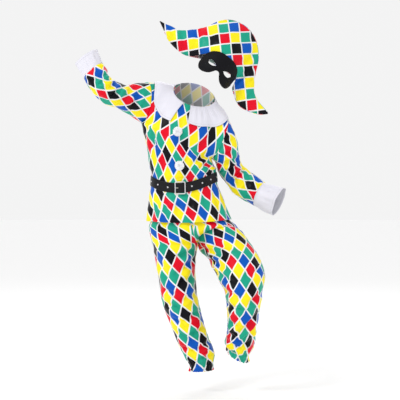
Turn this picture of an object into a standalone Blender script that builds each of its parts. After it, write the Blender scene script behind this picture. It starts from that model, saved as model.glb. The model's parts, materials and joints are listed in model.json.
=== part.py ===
"""Harlequin costume: tunic, satin collar and cuffs, studded belt, gathered trousers, hat and half mask.

It stands as worn, hollow and open. X runs to the viewer's right, Z up, and the front faces -Y.
The origin is the centre of the neck opening. Sides are named for the wearer, so "right" has low X.
Tables are in millimetres; in each, a is the viewer's left edge of a section and b its right edge.
"""

import math
from collections import namedtuple

import bmesh
import bpy
import numpy as np
from mathutils import Vector
from mathutils.bvhtree import BVHTree

MM = 0.001

# Walls and gaps
CLOTH_WALL = 1.4
HAT_WALL = 2.0
MASK_WALL = 1.6
SEAM_GAP = 0.3
COLLAR_LIFT = 2.4
COLLAR_CLEARANCE = 0.6
UNDER_BELT_GAP = 0.8

# Grid sizes
FRONT_COLUMNS = 20
BACK_COLUMNS = 18
SHOULDER_COLUMNS = 4
YOKE_ROWS = 7
SLEEVE_COLUMNS = 14
LEG_COLUMNS = 24
COLLAR_COLUMNS = 16
COLLAR_ROWS = 4
HAT_COLUMNS = 28
HAT_ROWS = 7

# Tunic below the armpits, as level rings: front_shift and front_drop move the centre front of a ring
Ring = namedtuple("Ring", "a_x a_z b_x b_z half_depth front_shift front_drop")
TUNIC_RINGS = (
    Ring(-197, -96, 66, -231, 86, -8, 0),
    Ring(-186, -142, 69, -244, 92, -8, 4),
    Ring(-174, -199, 75, -259, 97, -8, 12),
    Ring(-166, -264, 84, -268, 98, -10, 26),
    Ring(-158, -288, 82, -275, 88, -13, 35),
    Ring(-161, -338, 87, -325, 88, -13, 35),
    Ring(-168, -373, 101, -360, 97, -8, 24),
    Ring(-174, -416, 122, -412, 106, 0, 12),
    Ring(-180, -465, 142, -458, 112, 6, 8),
)
TUNIC_PLACES = (0, 0.6, 1.2, 1.8, 2.4, 2.8, 3.2, 3.6, 4, 5, 5.5, 6, 6.7, 7.4, 8)
BELT_RINGS = (4, 5)
BELT_EDGES = (0.13, 0.87)
CHEST_BULGE = 5
BACK_BULGE = 8

# Neck opening: a tilted oval
NECK_A = np.array((-69.0, 10.0, 38.0))
NECK_B = np.array((71.0, 10.0, -18.0))
NECK_FRONT = np.array((-25.0, -58.0, -40.0))

# Folds: angle round the ring (90 is centre front, 270 centre back), where along the table, and how deep
Fold = namedtuple("Fold", "angle start end width depth")
TUNIC_FOLDS = (
    Fold(22, 5.3, 8, 11, -11),
    Fold(50, 5.4, 8, 12, -9),
    Fold(80, 5.3, 8, 11, -12),
    Fold(112, 5.4, 8, 12, -11),
    Fold(140, 5.3, 8, 11, -10),
    Fold(164, 5.4, 8, 10, -8),
    Fold(205, 5.3, 8, 12, -9),
    Fold(236, 5.4, 8, 12, -11),
    Fold(268, 5.3, 8, 12, -10),
    Fold(300, 5.4, 8, 12, -11),
    Fold(332, 5.3, 8, 12, -9),
    Fold(150, 1.4, 3.6, 12, -6),
    Fold(120, 2.2, 3.7, 11, -5),
    Fold(58, 2.4, 3.7, 12, -5),
    Fold(96, 0.4, 2.6, 10, -4),
    Fold(230, 2.2, 3.7, 14, -5),
    Fold(290, 2.0, 3.7, 14, -6),
)

# Sleeves and cuffs, from the armhole down the arm
Tube = namedtuple("Tube", "a_x a_z b_x b_z y half_depth")
RIGHT_SLEEVE = (
    Tube(-176, 56, -197, -96, 0, 52),
    Tube(-214, 49, -235, -71, -25, 48),
    Tube(-251, 39, -274, -49, -55, 45),
    Tube(-289, 52, -322, -37, -85, 44),
    Tube(-309, 67, -360, -8, -108, 43),
    Tube(-319, 90, -382, 24, -110, 42),
    Tube(-334, 114, -400, 54, -98, 40),
)
RIGHT_CUFF = (
    Tube(-334, 114, -400, 54, -98, 40),
    Tube(-345, 143, -420, 86, -97, 43),
    Tube(-356, 167, -435, 112, -95, 45),
)
LEFT_SLEEVE = (
    Tube(127, -82, 66, -231, 0, 52),
    Tube(154, -146, 84, -245, 10, 48),
    Tube(165, -199, 92, -276, 30, 45),
    Tube(176, -244, 108, -306, 50, 43),
    Tube(201, -268, 129, -336, 58, 43),
    Tube(231, -291, 161, -371, 45, 42),
    Tube(270, -322, 227, -408, 15, 40),
)
LEFT_CUFF = (
    Tube(270, -322, 227, -408, 15, 40),
    Tube(305, -332, 260, -425, 4, 44),
    Tube(341, -341, 295, -442, -10, 47),
)
SLEEVE_PLACES = (0, 0.5, 1, 1.5, 2, 2.5, 3, 3.5, 4, 4.5, 5, 5.5, 6)
CUFF_PLACES = (0, 0.5, 1, 1.5, 2)
RIGHT_SLEEVE_FOLDS = (
    Fold(150, 2.6, 4.6, 20, -6),
    Fold(205, 3.0, 5.0, 20, -6),
    Fold(40, 1.0, 2.6, 18, -4),
    Fold(320, 1.2, 3.2, 20, -4),
)
LEFT_SLEEVE_FOLDS = (
    Fold(130, 2.8, 5.0, 20, -6),
    Fold(215, 2.6, 4.8, 20, -6),
    Fold(60, 3.0, 4.6, 18, -4),
    Fold(300, 1.0, 3.0, 20, -4),
)

# Trousers: rings round both legs down to the hip, then a tube for each leg
TROUSER_RINGS = (
    Ring(-158, -333, 84, -321, 86, -13, 35),
    Ring(-156, -420, 98, -414, 84, -3, 10),
    Ring(-160, -455, 119, -450, 87, 0, 4),
    Ring(-169, -486, 156, -478, 93, 0, 0),
)
WAISTBAND_PLACES = (4.4, 4.93)
CROTCH = np.array((15.0, 0.0, -547.0))
RIGHT_LEG = (
    Tube(-158, -547, 15, -547, 0, 90),
    Tube(-150, -580, 9, -586, 0, 86),
    Tube(-138, -652, 4, -652, 2, 79),
    Tube(-126, -724, 9, -717, 4, 75),
    Tube(-115, -786, 21, -784, 6, 72),
    Tube(-94, -836, 34, -836, 8, 70),
    Tube(-74, -892, 51, -892, 10, 67),
    Tube(-53, -941, 71, -941, 12, 62),
    Tube(-34, -979, 74, -968, 14, 55),
    Tube(-17, -1006, 71, -998, 15, 44),
    Tube(-19, -1029, 72, -1024, 15, 47),
)
LEFT_LEG = (
    Tube(15, -547, 199, -544, 0, 93),
    Tube(46, -579, 226, -590, -42, 88),
    Tube(71, -624, 255, -641, -92, 84),
    Tube(91, -672, 261, -674, -120, 80),
    Tube(112, -726, 249, -728, -124, 74),
    Tube(120, -787, 241, -788, -104, 70),
    Tube(124, -847, 232, -848, -76, 66),
    Tube(120, -889, 227, -893, -52, 62),
    Tube(115, -912, 219, -935, -34, 55),
    Tube(122, -924, 204, -966, -24, 44),
    Tube(120, -941, 205, -988, -18, 47),
)
HIP_PLACES = (0, 1, 2, 3)
CROTCH_STEPS = (0.3, 0.55, 0.8)
LEG_PLACES = (0, 0.6, 1.2, 2, 2.8, 3.6, 4.4, 5.2, 6, 6.8, 7.5, 8.2, 9, 10)
RIGHT_LEG_FOLDS = (
    Fold(100, 0.4, 3.0, 18, -5),
    Fold(150, 0.2, 2.4, 16, -5),
    Fold(60, 5.6, 8.6, 18, -5),
    Fold(130, 6.4, 9.0, 16, -5),
    Fold(250, 4.6, 8.0, 20, -5),
    Fold(310, 0.4, 3.0, 20, -5),
)
LEFT_LEG_FOLDS = (
    Fold(40, 0.4, 2.6, 16, -6),
    Fold(75, 5.2, 8.4, 16, -6),
    Fold(20, 3.0, 5.2, 18, -5),
    Fold(135, 6.0, 8.8, 16, -5),
    Fold(240, 2.4, 4.6, 22, -6),
    Fold(290, 4.4, 7.6, 20, -5),
)
ANKLE_GATHERS = 6
ANKLE_GATHER_DEPTH = 2.2

# Collar halves: the place on the neck oval where a station starts, and the outer edge it reaches
Station = namedtuple("Station", "neck_angle x y z")
RIGHT_COLLAR = (
    Station(80, -88, -90, -94),
    Station(58, -121, -70, -77),
    Station(36, -140, -50, -46),
    Station(16, -151, -25, -6),
    Station(-4, -150, 8, 44),
    Station(-26, -138, 55, 40),
    Station(-48, -96, 92, 22),
    Station(-70, -50, 108, -6),
    Station(-89, -8, 112, -24),
)
LEFT_COLLAR = (
    Station(99, -21, -98, -99),
    Station(114, 13, -96, -109),
    Station(130, 49, -88, -112),
    Station(146, 84, -70, -108),
    Station(162, 113, -44, -97),
    Station(178, 133, -4, -76),
    Station(200, 128, 50, -62),
    Station(222, 98, 86, -52),
    Station(246, 48, 106, -38),
    Station(269, -4, 112, -25),
)
COLLAR_GATHER_DEPTH = 1.0
COLLAR_SWELL = 6
COLLAR_MIDDLE = np.array((-20.0, 0.0, -60.0))
CLEARING_ROUNDS = 60
CLEARING_STEP = 0.4
NECK_INSET = 0.05

# Belt: distances along it start at the centre of the buckle and run to the viewer's right
BELT_WALL = 2.0
BELT_COLUMN = 16
BELT_FIXED_END = 8
BELT_TAIL = 105
BELT_CLIMB = ((-18, 1.8), (-14, 2.4), (-11.5, 3.2), (-6, 5.2), (0, 7.0), (9, 7.8), (18, 7.8), (28, 6.4), (42, 4.2))
PRONG_HOLE = (-13.6, -6)
PRONG_PATH = ((15.6, 4.6), (4, 4.2), (-6.5, 2.9), (-12.6, 5.4), (-15.2, 7.6), (-19, 7.6))
PRONG_WIDTH = 2.6
BUCKLE_WIDTH = 40
BUCKLE_HEIGHT = 47
BUCKLE_BAR = 3.6
BUCKLE_WALL = 2.5
BUCKLE_LIFT = 2.8
BUCKLE_TILT = 0.165
BUCKLE_LEVEL_AT = -17
STUD_SPACING = 42
STUD_FIRST = 43
STUD_RADIUS = 3.0
STUD_HEIGHT = 1.4
STUD_SIDES = 8

# Hat: columns from the viewer's left tip to the right tip; top seam, lower edge, rim depth and bulge
HatColumn = namedtuple("HatColumn", "top_x top_z low_x low_z rim_depth bulge")
HAT = (
    HatColumn(-128, 286, -129, 283, 0, 2),
    HatColumn(-109, 275, -114, 251, 0, 8),
    HatColumn(-84, 265, -101, 219, 0, 15),
    HatColumn(-56, 251, -77, 189, 0, 20),
    HatColumn(-24, 251, -43, 161, 0, 23),
    HatColumn(9, 255, -11, 152, 4, 24),
    HatColumn(49, 264, 34, 156, 44, 14),
    HatColumn(94, 285, 71, 154, 70, 8),
    HatColumn(139, 289, 105, 139, 84, 4),
    HatColumn(184, 272, 135, 116, 76, 5),
    HatColumn(218, 240, 156, 90, 46, 9),
    HatColumn(238, 195, 158, 62, 20, 16),
    HatColumn(242, 139, 143, 34, 0, 22),
    HatColumn(230, 82, 150, 4, 0, 20),
    HatColumn(226, 26, 167, -32, 0, 16),
    HatColumn(238, -11, 202, -54, 0, 11),
    HatColumn(261, -39, 244, -66, 0, 6),
    HatColumn(280, -61, 278, -64, 0, 2),
)
HAT_MIDDLE = -5
HAT_BACK_DROP = 0.26

# Half mask on a general oval head: along is measured round the head, up from the line of the eyes
HEAD_CENTRE = np.array((87.0, -10.0, 103.0))
HEAD_ROLL = math.radians(37.7)
HEAD_TURN = math.radians(8)
HEAD_HALF_WIDTH = 78
HEAD_HALF_DEPTH = 93
BROW_SLOPE = 240
MaskColumn = namedtuple("MaskColumn", "along low eye_low eye_high high")
MASK_SIDE = (
    MaskColumn(0, -13, -3, 3, 53),
    MaskColumn(8, -16, -3, 3, 53.5),
    MaskColumn(16, -27, -3, 2, 53.5),
    MaskColumn(24, -36, -7, 5, 52.5),
    MaskColumn(32, -41, -9, 8, 51),
    MaskColumn(40, -44, -9.5, 9, 48.5),
    MaskColumn(48, -46, -8, 9.5, 45),
    MaskColumn(56, -46, -3, 6, 41),
    MaskColumn(64, -45, -3, 3, 36),
    MaskColumn(74, -41, -3, 3, 27),
    MaskColumn(84, -32, -4, 3, 15),
    MaskColumn(91, -20, -5, 2, 6),
)
EYE_COLUMNS = (2, 7)
ElasticPoint = namedtuple("ElasticPoint", "x y up")
ELASTIC = (
    ElasticPoint(-62.3, -54.6, -6),
    ElasticPoint(-66.3, -47.4, -5),
    ElasticPoint(-75, -24, -1),
    ElasticPoint(-85, 6, 2),
    ElasticPoint(-74, 36, 14),
    ElasticPoint(-42, 54, 26),
    ElasticPoint(0, 59, 31),
    ElasticPoint(36, 52, 30),
    ElasticPoint(60, 30, 22),
    ElasticPoint(72, 2, 10),
    ElasticPoint(74.6, -23.6, 2),
    ElasticPoint(72.4, -32.2, 1),
)
ELASTIC_WIDTH = 6
ELASTIC_WALL = 1.2

# Pompoms on the centre front
POMPOMS = (("pompom_upper", -59, -135), ("pompom_lower", -54, -262))
POMPOM_CORE = 10.5
POMPOM_RADIUS = 18
POMPOM_STAND_OFF = 10.9
LOCK_TIP = 1.15


# Helpers

def smooth(table, places):
    """Rows of a table at places counted in rows, on a smooth curve through them."""
    rows = np.array(table, float)
    last = len(rows) - 1
    found = []
    for place in np.atleast_1d(places):
        low = int(min(max(place, 0), last - 1))
        t = place - low
        here, there = rows[low], rows[low + 1]
        before = rows[low - 1] if low > 0 else 2 * here - there
        after = rows[low + 2] if low + 2 <= last else 2 * there - here
        leave, arrive = (there - before) / 2, (after - here) / 2
        found.append(
            here * (2 * t**3 - 3 * t**2 + 1)
            + leave * (t**3 - 2 * t**2 + t)
            + there * (3 * t**2 - 2 * t**3)
            + arrive * (t**3 - t**2)
        )
    return np.array(found)


def unit(vectors):
    lengths = np.linalg.norm(vectors, axis=-1, keepdims=True)
    return vectors / np.maximum(lengths, 1e-9)


def fold_depth(folds, place, angle):
    """How far the folds move the cloth out at a place and an angle in degrees."""
    total = 0.0
    for fold in folds:
        if not fold.start < place <= max(fold.end, fold.start):
            continue
        run = (place - fold.start) / (fold.end - fold.start)
        full_at_hem = fold.end >= 8
        strength = math.sin(math.pi / 2 * run) if full_at_hem else math.sin(math.pi * run)
        off = (angle - fold.angle + 180) % 360 - 180
        total += fold.depth * strength * math.exp(-((off / fold.width) ** 2))
    return total


def ring_points(table, place, angles, folds=()):
    """Points of a level ring: angle 0 is its a edge, 90 the front, 180 its b edge, 270 the back."""
    row = Ring(*smooth(table, place)[0])
    a = np.array((row.a_x, 0, row.a_z))
    b = np.array((row.b_x, 0, row.b_z))
    centre, half = (a + b) / 2, (b - a) / 2
    points = []
    for angle in angles:
        c, s = math.cos(math.radians(angle)), math.sin(math.radians(angle))
        drop = row.front_drop * (-s * s if s > 0 else 0.4 * s * s)
        point = centre - half * c + np.array((row.front_shift * s, -row.half_depth * s, drop))
        out = unit(np.array((point[0] - centre[0], point[1], 0.0)))
        points.append(point + out * fold_depth(folds, place, angle))
    return np.array(points)


def tube_points(table, place, angles, folds=()):
    """Points of a section of a tube, square to its run. Angles are as in ring_points."""
    row = Tube(*smooth(table, place)[0])
    step = 0.05 if place + 0.05 <= len(table) - 1 else -0.05
    near = Tube(*smooth(table, place + step)[0])
    a = np.array((row.a_x, row.y, row.a_z))
    b = np.array((row.b_x, row.y, row.b_z))
    centre, half = (a + b) / 2, (b - a) / 2
    run = np.array(((near.a_x + near.b_x) / 2, near.y, (near.a_z + near.b_z) / 2)) - centre
    front = unit(np.cross(run, half)) * row.half_depth
    if front[1] > 0:
        front = -front
    points = []
    for angle in angles:
        c, s = math.cos(math.radians(angle)), math.sin(math.radians(angle))
        spoke = front * s - half * c
        points.append(centre + spoke + unit(spoke) * fold_depth(folds, place, angle))
    return np.array(points)


def neck_points(angles):
    centre, half = (NECK_A + NECK_B) / 2, (NECK_B - NECK_A) / 2
    turns = np.radians(angles)[:, None]
    return centre - half * np.cos(turns) + NECK_FRONT * np.sin(turns)


def between(start, end, steps):
    """Points from start to end, without the end."""
    share = np.arange(steps)[:, None] / steps
    return start + (end - start) * share


def patch(low, high, side_0, side_1):
    """A sheet ruled from low to high, its two ends bowed out to the sides."""
    u = np.linspace(0, 1, len(low))[None, :, None]
    v = np.linspace(0, 1, len(side_0))[:, None, None]
    ruled = (1 - v) * low[None] + v * high[None]
    bow_0 = side_0[:, None] - ruled[:, :1]
    bow_1 = side_1[:, None] - ruled[:, -1:]
    return ruled + bow_0 * (1 - u) ** 3 + bow_1 * u**3


def cell_normals(grid):
    """A vector across each cell, as long as twice its area."""
    return np.cross(grid[1:, 1:] - grid[:-1, :-1], grid[:-1, 1:] - grid[1:, :-1])


def points_out(grid, centre):
    """Whether the cell normals look away from the centres."""
    middle = (grid[1:, 1:] + grid[:-1, :-1]) / 2
    middle_centre = (centre[1:, 1:] + centre[:-1, :-1]) / 2
    return (cell_normals(grid) * (middle - middle_centre)).sum() > 0


def outward_normals(grids, centres):
    """Normals at each grid's points, shared where grids meet, so that walls meet in a mitre."""
    total = {}
    keys = [np.round(grid / 0.01).astype(int) for grid in grids]
    for grid, centre, key in zip(grids, centres, keys):
        faces = cell_normals(grid)
        if not points_out(grid, centre):
            faces = -faces
        for row, col in np.ndindex(faces.shape[:2]):
            for corner in ((row, col), (row + 1, col), (row, col + 1), (row + 1, col + 1)):
                spot = tuple(key[corner])
                total[spot] = total.get(spot, 0) + faces[row, col]
    return [unit(np.array([[total[tuple(spot)] for spot in row] for row in key])) for key in keys]


def row_centres(grid):
    return np.broadcast_to(grid.mean(axis=1, keepdims=True), grid.shape)


def draw_in(grid, edges):
    """Moves a grid's sewn edges in by half the seam gap."""
    grid = grid.copy()
    step = SEAM_GAP / 2
    if "top" in edges:
        grid[0] += unit(grid[1] - grid[0]) * step
    if "bottom" in edges:
        grid[-1] += unit(grid[-2] - grid[-1]) * step
    if "left" in edges:
        grid[:, 0] += unit(grid[:, 1] - grid[:, 0]) * step
    if "right" in edges:
        grid[:, -1] += unit(grid[:, -2] - grid[:, -1]) * step
    return grid


def add_object(name, vertices, faces, material):
    mesh = bpy.data.meshes.new(name)
    mesh.from_pydata([tuple(point * MM) for point in np.array(vertices)], [], faces)
    shape = bmesh.new()
    shape.from_mesh(mesh)
    bmesh.ops.recalc_face_normals(shape, faces=shape.faces)
    if shape.calc_volume(signed=True) < 0:
        bmesh.ops.reverse_faces(shape, faces=shape.faces)
    shape.to_mesh(mesh)
    shape.free()
    mesh.materials.append(material)
    obj = bpy.data.objects.new(name, mesh)
    bpy.context.scene.collection.objects.link(obj)
    return obj


def add_panel(name, outer, inner, material, joined_from=None, holes=()):
    """A walled sheet from two grids. From row joined_from on, its last column is its first."""
    rows, columns = outer.shape[:2]
    index = np.arange(rows * columns).reshape(rows, columns)
    if joined_from is not None:
        index[joined_from:, -1] = index[joined_from:, 0]
    used, place = np.unique(index, return_inverse=True)
    place = place.reshape(rows, columns)
    below = len(used)
    vertices = np.concatenate([outer.reshape(-1, 3)[used], inner.reshape(-1, 3)[used]])
    faces, edges = [], set()
    for row, col in np.ndindex(rows - 1, columns - 1):
        if (row, col) in holes:
            continue
        corners = [place[row, col], place[row, col + 1], place[row + 1, col + 1], place[row + 1, col]]
        across = np.linalg.norm(vertices[corners[0]] - vertices[corners[2]])
        other = np.linalg.norm(vertices[corners[1]] - vertices[corners[3]])
        if across > other:
            corners = corners[1:] + corners[:1]
        for triangle in ((0, 1, 2), (0, 2, 3)):
            face = [int(corners[i]) for i in triangle]
            if len(set(face)) < 3:
                continue
            faces.append(face)
            faces.append([i + below for i in reversed(face)])
        edges.update((int(corners[i]), int(corners[(i + 1) % 4])) for i in range(4))
    for start, end in sorted(edges):
        if start != end and (end, start) not in edges:
            faces.append([end, start, start + below])
            faces.append([end, start + below, end + below])
    return add_object(name, vertices, faces, material)


def add_material(name, colour, roughness, metallic=0.0):
    material = bpy.data.materials.new(name)
    material.use_nodes = True
    shader = material.node_tree.nodes["Principled BSDF"]
    shader.inputs["Base Color"].default_value = (*colour, 1)
    shader.inputs["Roughness"].default_value = roughness
    shader.inputs["Metallic"].default_value = metallic
    return material


def add_sewn(name, grid, normals, wall, edges, material, joined_from=None):
    """A cloth piece from its outer grid: the wall goes inwards and the sewn edges are drawn in."""
    outer = draw_in(grid, edges)
    inner = draw_in(grid - normals * wall, edges)
    return add_panel(name, outer, inner, material, joined_from)


# Grids of the garment

def tunic_grids():
    """Front and back, each from the hem up to the shoulders and neck."""
    grids = []
    for start, columns, sign in ((0, FRONT_COLUMNS, -1), (180, BACK_COLUMNS, 1)):
        angles = start + np.linspace(0, 180, columns + 1)
        rings = [ring_points(TUNIC_RINGS, place, angles, TUNIC_FOLDS) for place in TUNIC_PLACES]
        sides = start + np.linspace(180, 0, YOKE_ROWS + 1) if sign < 0 else np.linspace(180, 360, YOKE_ROWS + 1)
        right = tube_points(RIGHT_SLEEVE, 0, sides)
        left = tube_points(LEFT_SLEEVE, 0, sides)
        first, last = (right, left) if sign < 0 else (left, right)
        neck = neck_points(start + np.linspace(0, 180, columns - 2 * SHOULDER_COLUMNS + 1))
        top = np.concatenate([
            between(first[-1], neck[0], SHOULDER_COLUMNS),
            neck[:-1],
            between(neck[-1], last[-1], SHOULDER_COLUMNS),
            last[-1:],
        ])
        yoke = patch(rings[0], top, first, last)
        u = np.sin(np.linspace(0, math.pi, columns + 1))[None]
        v = np.sin(np.linspace(0, math.pi, YOKE_ROWS + 1))[:, None]
        yoke[..., 1] += sign * (CHEST_BULGE if sign < 0 else BACK_BULGE) * u * v
        grids.append(np.concatenate([yoke[::-1], np.array(rings[1:])]))
    return grids


def tube_grid(table, places, columns, folds=()):
    angles = np.linspace(0, 360, columns + 1)
    return np.array([tube_points(table, place, angles, folds) for place in places])


def waistband_grid(angles):
    """The trousers' waistband just inside the tunic under the belt, and the way out at its points."""
    rings = np.array([ring_points(TUNIC_RINGS, place, angles) for place in WAISTBAND_PLACES])
    axis = np.array([ring_points(TUNIC_RINGS, place, (0, 180)).mean(axis=0) for place in WAISTBAND_PLACES])
    way_out = rings - axis[:, None]
    way_out[..., 2] = 0
    way_out = unit(way_out)
    return rings - way_out * (CLOTH_WALL + UNDER_BELT_GAP), way_out


def leg_grid(leg, is_right, folds):
    """A trouser leg: an open sheet down to the crotch, then a tube. Column 0 is the centre front."""
    half = np.linspace(90, -90, LEG_COLUMNS + 1) if is_right else np.linspace(90, 270, LEG_COLUMNS + 1)
    whole = np.linspace(180, -180, LEG_COLUMNS + 1) if is_right else np.linspace(0, 360, LEG_COLUMNS + 1)
    hips = [ring_points(TROUSER_RINGS, place, half) for place in HIP_PLACES]
    hips[0] = waistband_grid(half)[0][-1]
    low = hips[-1]
    tube = [tube_points(leg, place, whole, folds) for place in LEG_PLACES]
    tube[0][[0, -1]] = CROTCH
    rows = []
    u = np.linspace(0, 1, LEG_COLUMNS + 1)[:, None]
    for step in CROTCH_STEPS:
        down, back = math.sin(math.pi / 2 * step), 1 - math.cos(math.pi / 2 * step)
        row = low + (tube[0] - low) * step
        for column, weight in ((0, (1 - u) ** 3), (-1, u**3)):
            edge = low[column] + (CROTCH - low[column]) * np.array((step, back, down))
            row = row + (edge - (low[column] + (CROTCH - low[column]) * step)) * weight
        rows.append(row)
    grid = np.concatenate([np.array(hips), np.array(rows), np.array(tube)])
    centres = grid.mean(axis=1)
    wave = np.cos(np.linspace(0, 2 * math.pi * ANKLE_GATHERS, LEG_COLUMNS + 1))[:, None]
    for row, strength in ((-1, 1.0), (-3, 0.8)):
        grid[row] += unit(grid[row] - centres[row]) * wave * ANKLE_GATHER_DEPTH * strength
    return grid


def surface_tree(grids):
    """The garment's outer surface, to lay the collar and pompoms on."""
    points, faces = [], []
    for grid in grids:
        start = len(points)
        columns = grid.shape[1]
        facing_out = points_out(grid, row_centres(grid))
        points.extend(Vector(point) for point in grid.reshape(-1, 3))
        for row, col in np.ndindex(grid.shape[0] - 1, columns - 1):
            corner = start + row * columns + col
            face = (corner, corner + columns, corner + columns + 1, corner + 1)
            faces.append(face if facing_out else face[::-1])
    return BVHTree.FromPolygons(points, faces)


def laid_on(tree, point, lift):
    """The nearest place on the surface, moved out by lift, and the way out there."""
    spot, normal = tree.find_nearest(Vector(point))[:2]
    return np.array(spot + normal * lift), np.array(normal)


def raised_clear(tree, grid):
    """Raises a laid sheet softly until its inner side is clear of the surface everywhere."""
    centres = np.broadcast_to(COLLAR_MIDDLE, grid.shape)
    for _ in range(CLEARING_ROUNDS):
        normals = outward_normals([grid], [centres])[0]
        sheet = surface_tree([grid - normals * (CLOTH_WALL + COLLAR_CLEARANCE)])
        touching = {cell for cell, _ in sheet.overlap(tree)}
        if not touching:
            break
        raise_by = np.zeros(grid.shape[:2])
        for cell in touching:
            row, col = divmod(cell, grid.shape[1] - 1)
            raise_by[row : row + 2, col : col + 2] = CLEARING_STEP
        padded = np.pad(raise_by, 1, mode="edge")
        beside = (padded[:-2, 1:-1] + padded[2:, 1:-1] + padded[1:-1, :-2] + padded[1:-1, 2:]) / 4
        grid = grid + normals * np.maximum(raise_by, beside)[..., None]
    return grid, outward_normals([grid], [centres])[0]


def collar_grid(stations, tree):
    """A collar half spread over the yoke, from the neck seam to its outer edge, gathered at the neck."""
    table = smooth(stations, np.linspace(0, len(stations) - 1, COLLAR_COLUMNS + 1))
    necks = neck_points(table[:, 0])
    grid = np.empty((COLLAR_ROWS + 1, COLLAR_COLUMNS + 1, 3))
    for col in range(COLLAR_COLUMNS + 1):
        edge = laid_on(tree, table[col, 1:], CLOTH_WALL + COLLAR_LIFT)[0]
        neck, way_out = laid_on(tree, necks[col] + (edge - necks[col]) * NECK_INSET, CLOTH_WALL + COLLAR_LIFT)
        up = unit(way_out + laid_on(tree, edge, 0)[1])
        for row in range(COLLAR_ROWS + 1):
            share = row / COLLAR_ROWS
            swell = COLLAR_SWELL * math.sin(math.pi * share) + COLLAR_GATHER_DEPTH * (1 - share) * (-1) ** col
            grid[row, col] = neck + (edge - neck) * share + up * swell
    return raised_clear(tree, grid)


# Belt

def belt_track():
    """Finely spaced angles round the belt and the distance along its middle at each, from the buckle."""
    angles = np.linspace(90, 450, 721)
    high, low = (ring_points(TUNIC_RINGS, place, angles) for place in BELT_RINGS)
    points = (high + low) / 2
    steps = np.linalg.norm(np.diff(points, axis=0), axis=1)
    return angles, np.concatenate([[0], np.cumsum(steps)])


def belt_point(track, distance, share, lift):
    """A point on the belt: share 0 is its lower edge and 1 its upper edge."""
    angles, lengths = track
    angle = np.interp(distance % lengths[-1], lengths, angles)
    high, low = (ring_points(TUNIC_RINGS, place, (angle - 1, angle, angle + 1)) for place in BELT_RINGS)
    lower_edge, upper_edge = BELT_EDGES
    point = low[1] + (high[1] - low[1]) * (lower_edge + (upper_edge - lower_edge) * share)
    out = unit(np.cross(high[2] - high[0] + low[2] - low[0], high[1] - low[1]))
    return point + out * lift, out


def strip_grids(track, distances, lifts, shares, wall):
    outer = np.empty((len(shares), len(distances), 3))
    inner = np.empty_like(outer)
    for row, share in enumerate(shares):
        for col, (distance, lift) in enumerate(zip(distances, lifts)):
            outer[row, col] = belt_point(track, distance, share, lift + wall / 2)[0]
            inner[row, col] = belt_point(track, distance, share, lift - wall / 2)[0]
    return outer, inner


def belt_lift(track, distance):
    """Height of the strap's middle over the tunic at a distance that runs on past one turn."""
    girth = track[1][-1]
    places, lifts = zip(*BELT_CLIMB)
    return float(np.interp(distance - girth, places, lifts))


def build_belt(leather, steel):
    track = belt_track()
    girth = track[1][-1]
    turns = list(np.linspace(BELT_FIXED_END, girth - 20, round(girth / BELT_COLUMN)))
    window = [girth + place for place in (-16, PRONG_HOLE[0], PRONG_HOLE[1], 0, 6, 12, 18, 23, 28, 35, 42, 56, 70, 84, 96)]
    distances = turns + window + [girth + BELT_TAIL]
    lifts = [belt_lift(track, distance) for distance in distances]
    hole_column = len(turns) + 1
    shares = (0, 0.44, 0.56, 1)
    outer, inner = strip_grids(track, distances, lifts, shares, BELT_WALL)
    for grid in (outer, inner):
        tip = grid[1:3, -1].mean(axis=0)
        grid[0, -1] += (tip - grid[0, -1]) * 0.55
        grid[-1, -1] += (tip - grid[-1, -1]) * 0.55
    add_panel("belt_strap", outer, inner, leather, holes={(1, hole_column)})

    places, heights = zip(*PRONG_PATH)
    half = PRONG_WIDTH / 37 / 2
    outer, inner = strip_grids(track, [girth + place for place in places], heights, (0.5 - half, 0.5 + half), 2.0)
    add_panel("buckle_prong", outer, inner, steel)

    centre, out = belt_point(track, 0, 0.5, 0)
    up = unit(belt_point(track, 0, 1, 0)[0] - belt_point(track, 0, 0, 0)[0])
    along = unit(np.cross(up, out))
    corners = ((-1, -1), (1, -1), (1, 1), (-1, 1), (-1, -1))
    grids = []
    for lift in (BUCKLE_LIFT + BUCKLE_WALL, BUCKLE_LIFT):
        grid = np.empty((2, 5, 3))
        for row, shrink in enumerate((0, BUCKLE_BAR)):
            for col, (x, y) in enumerate(corners):
                aside = x * (BUCKLE_WIDTH / 2 - shrink)
                rise = BUCKLE_TILT * (aside - BUCKLE_LEVEL_AT)
                flat = along * aside + up * y * (BUCKLE_HEIGHT / 2 - shrink)
                grid[row, col] = centre + flat + out * (lift + rise)
        grids.append(grid)
    add_panel("buckle_frame", grids[0], grids[1], steel, joined_from=0)

    number = 0
    for distance in np.arange(STUD_FIRST, girth - STUD_FIRST / 2, STUD_SPACING):
        number += 1
        past_tail = distance > BELT_TAIL
        run = distance if past_tail else distance + girth
        build_stud(f"belt_stud_{number:02d}", track, run, belt_lift(track, run), steel)


def build_stud(name, track, distance, lift, steel):
    centre, out = belt_point(track, distance, 0.5, lift + BELT_WALL / 2 + 0.3)
    up = unit(belt_point(track, distance, 1, 0)[0] - belt_point(track, distance, 0, 0)[0])
    along = unit(np.cross(up, out))
    vertices = []
    for radius, height in ((STUD_RADIUS, 0), (STUD_RADIUS, 0.3), (STUD_RADIUS * 0.62, STUD_HEIGHT)):
        for turn in np.arange(STUD_SIDES) * 2 * math.pi / STUD_SIDES:
            vertices.append(centre + (along * math.cos(turn) + up * math.sin(turn)) * radius + out * height)
    faces = [list(range(STUD_SIDES)), list(range(2 * STUD_SIDES, 3 * STUD_SIDES))]
    for level in range(2):
        for side in range(STUD_SIDES):
            start, end = side + level * STUD_SIDES, (side + 1) % STUD_SIDES + level * STUD_SIDES
            faces.append([start, end, end + STUD_SIDES, start + STUD_SIDES])
    add_object(name, vertices, faces, steel)


# Hat, mask and pompoms

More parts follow.
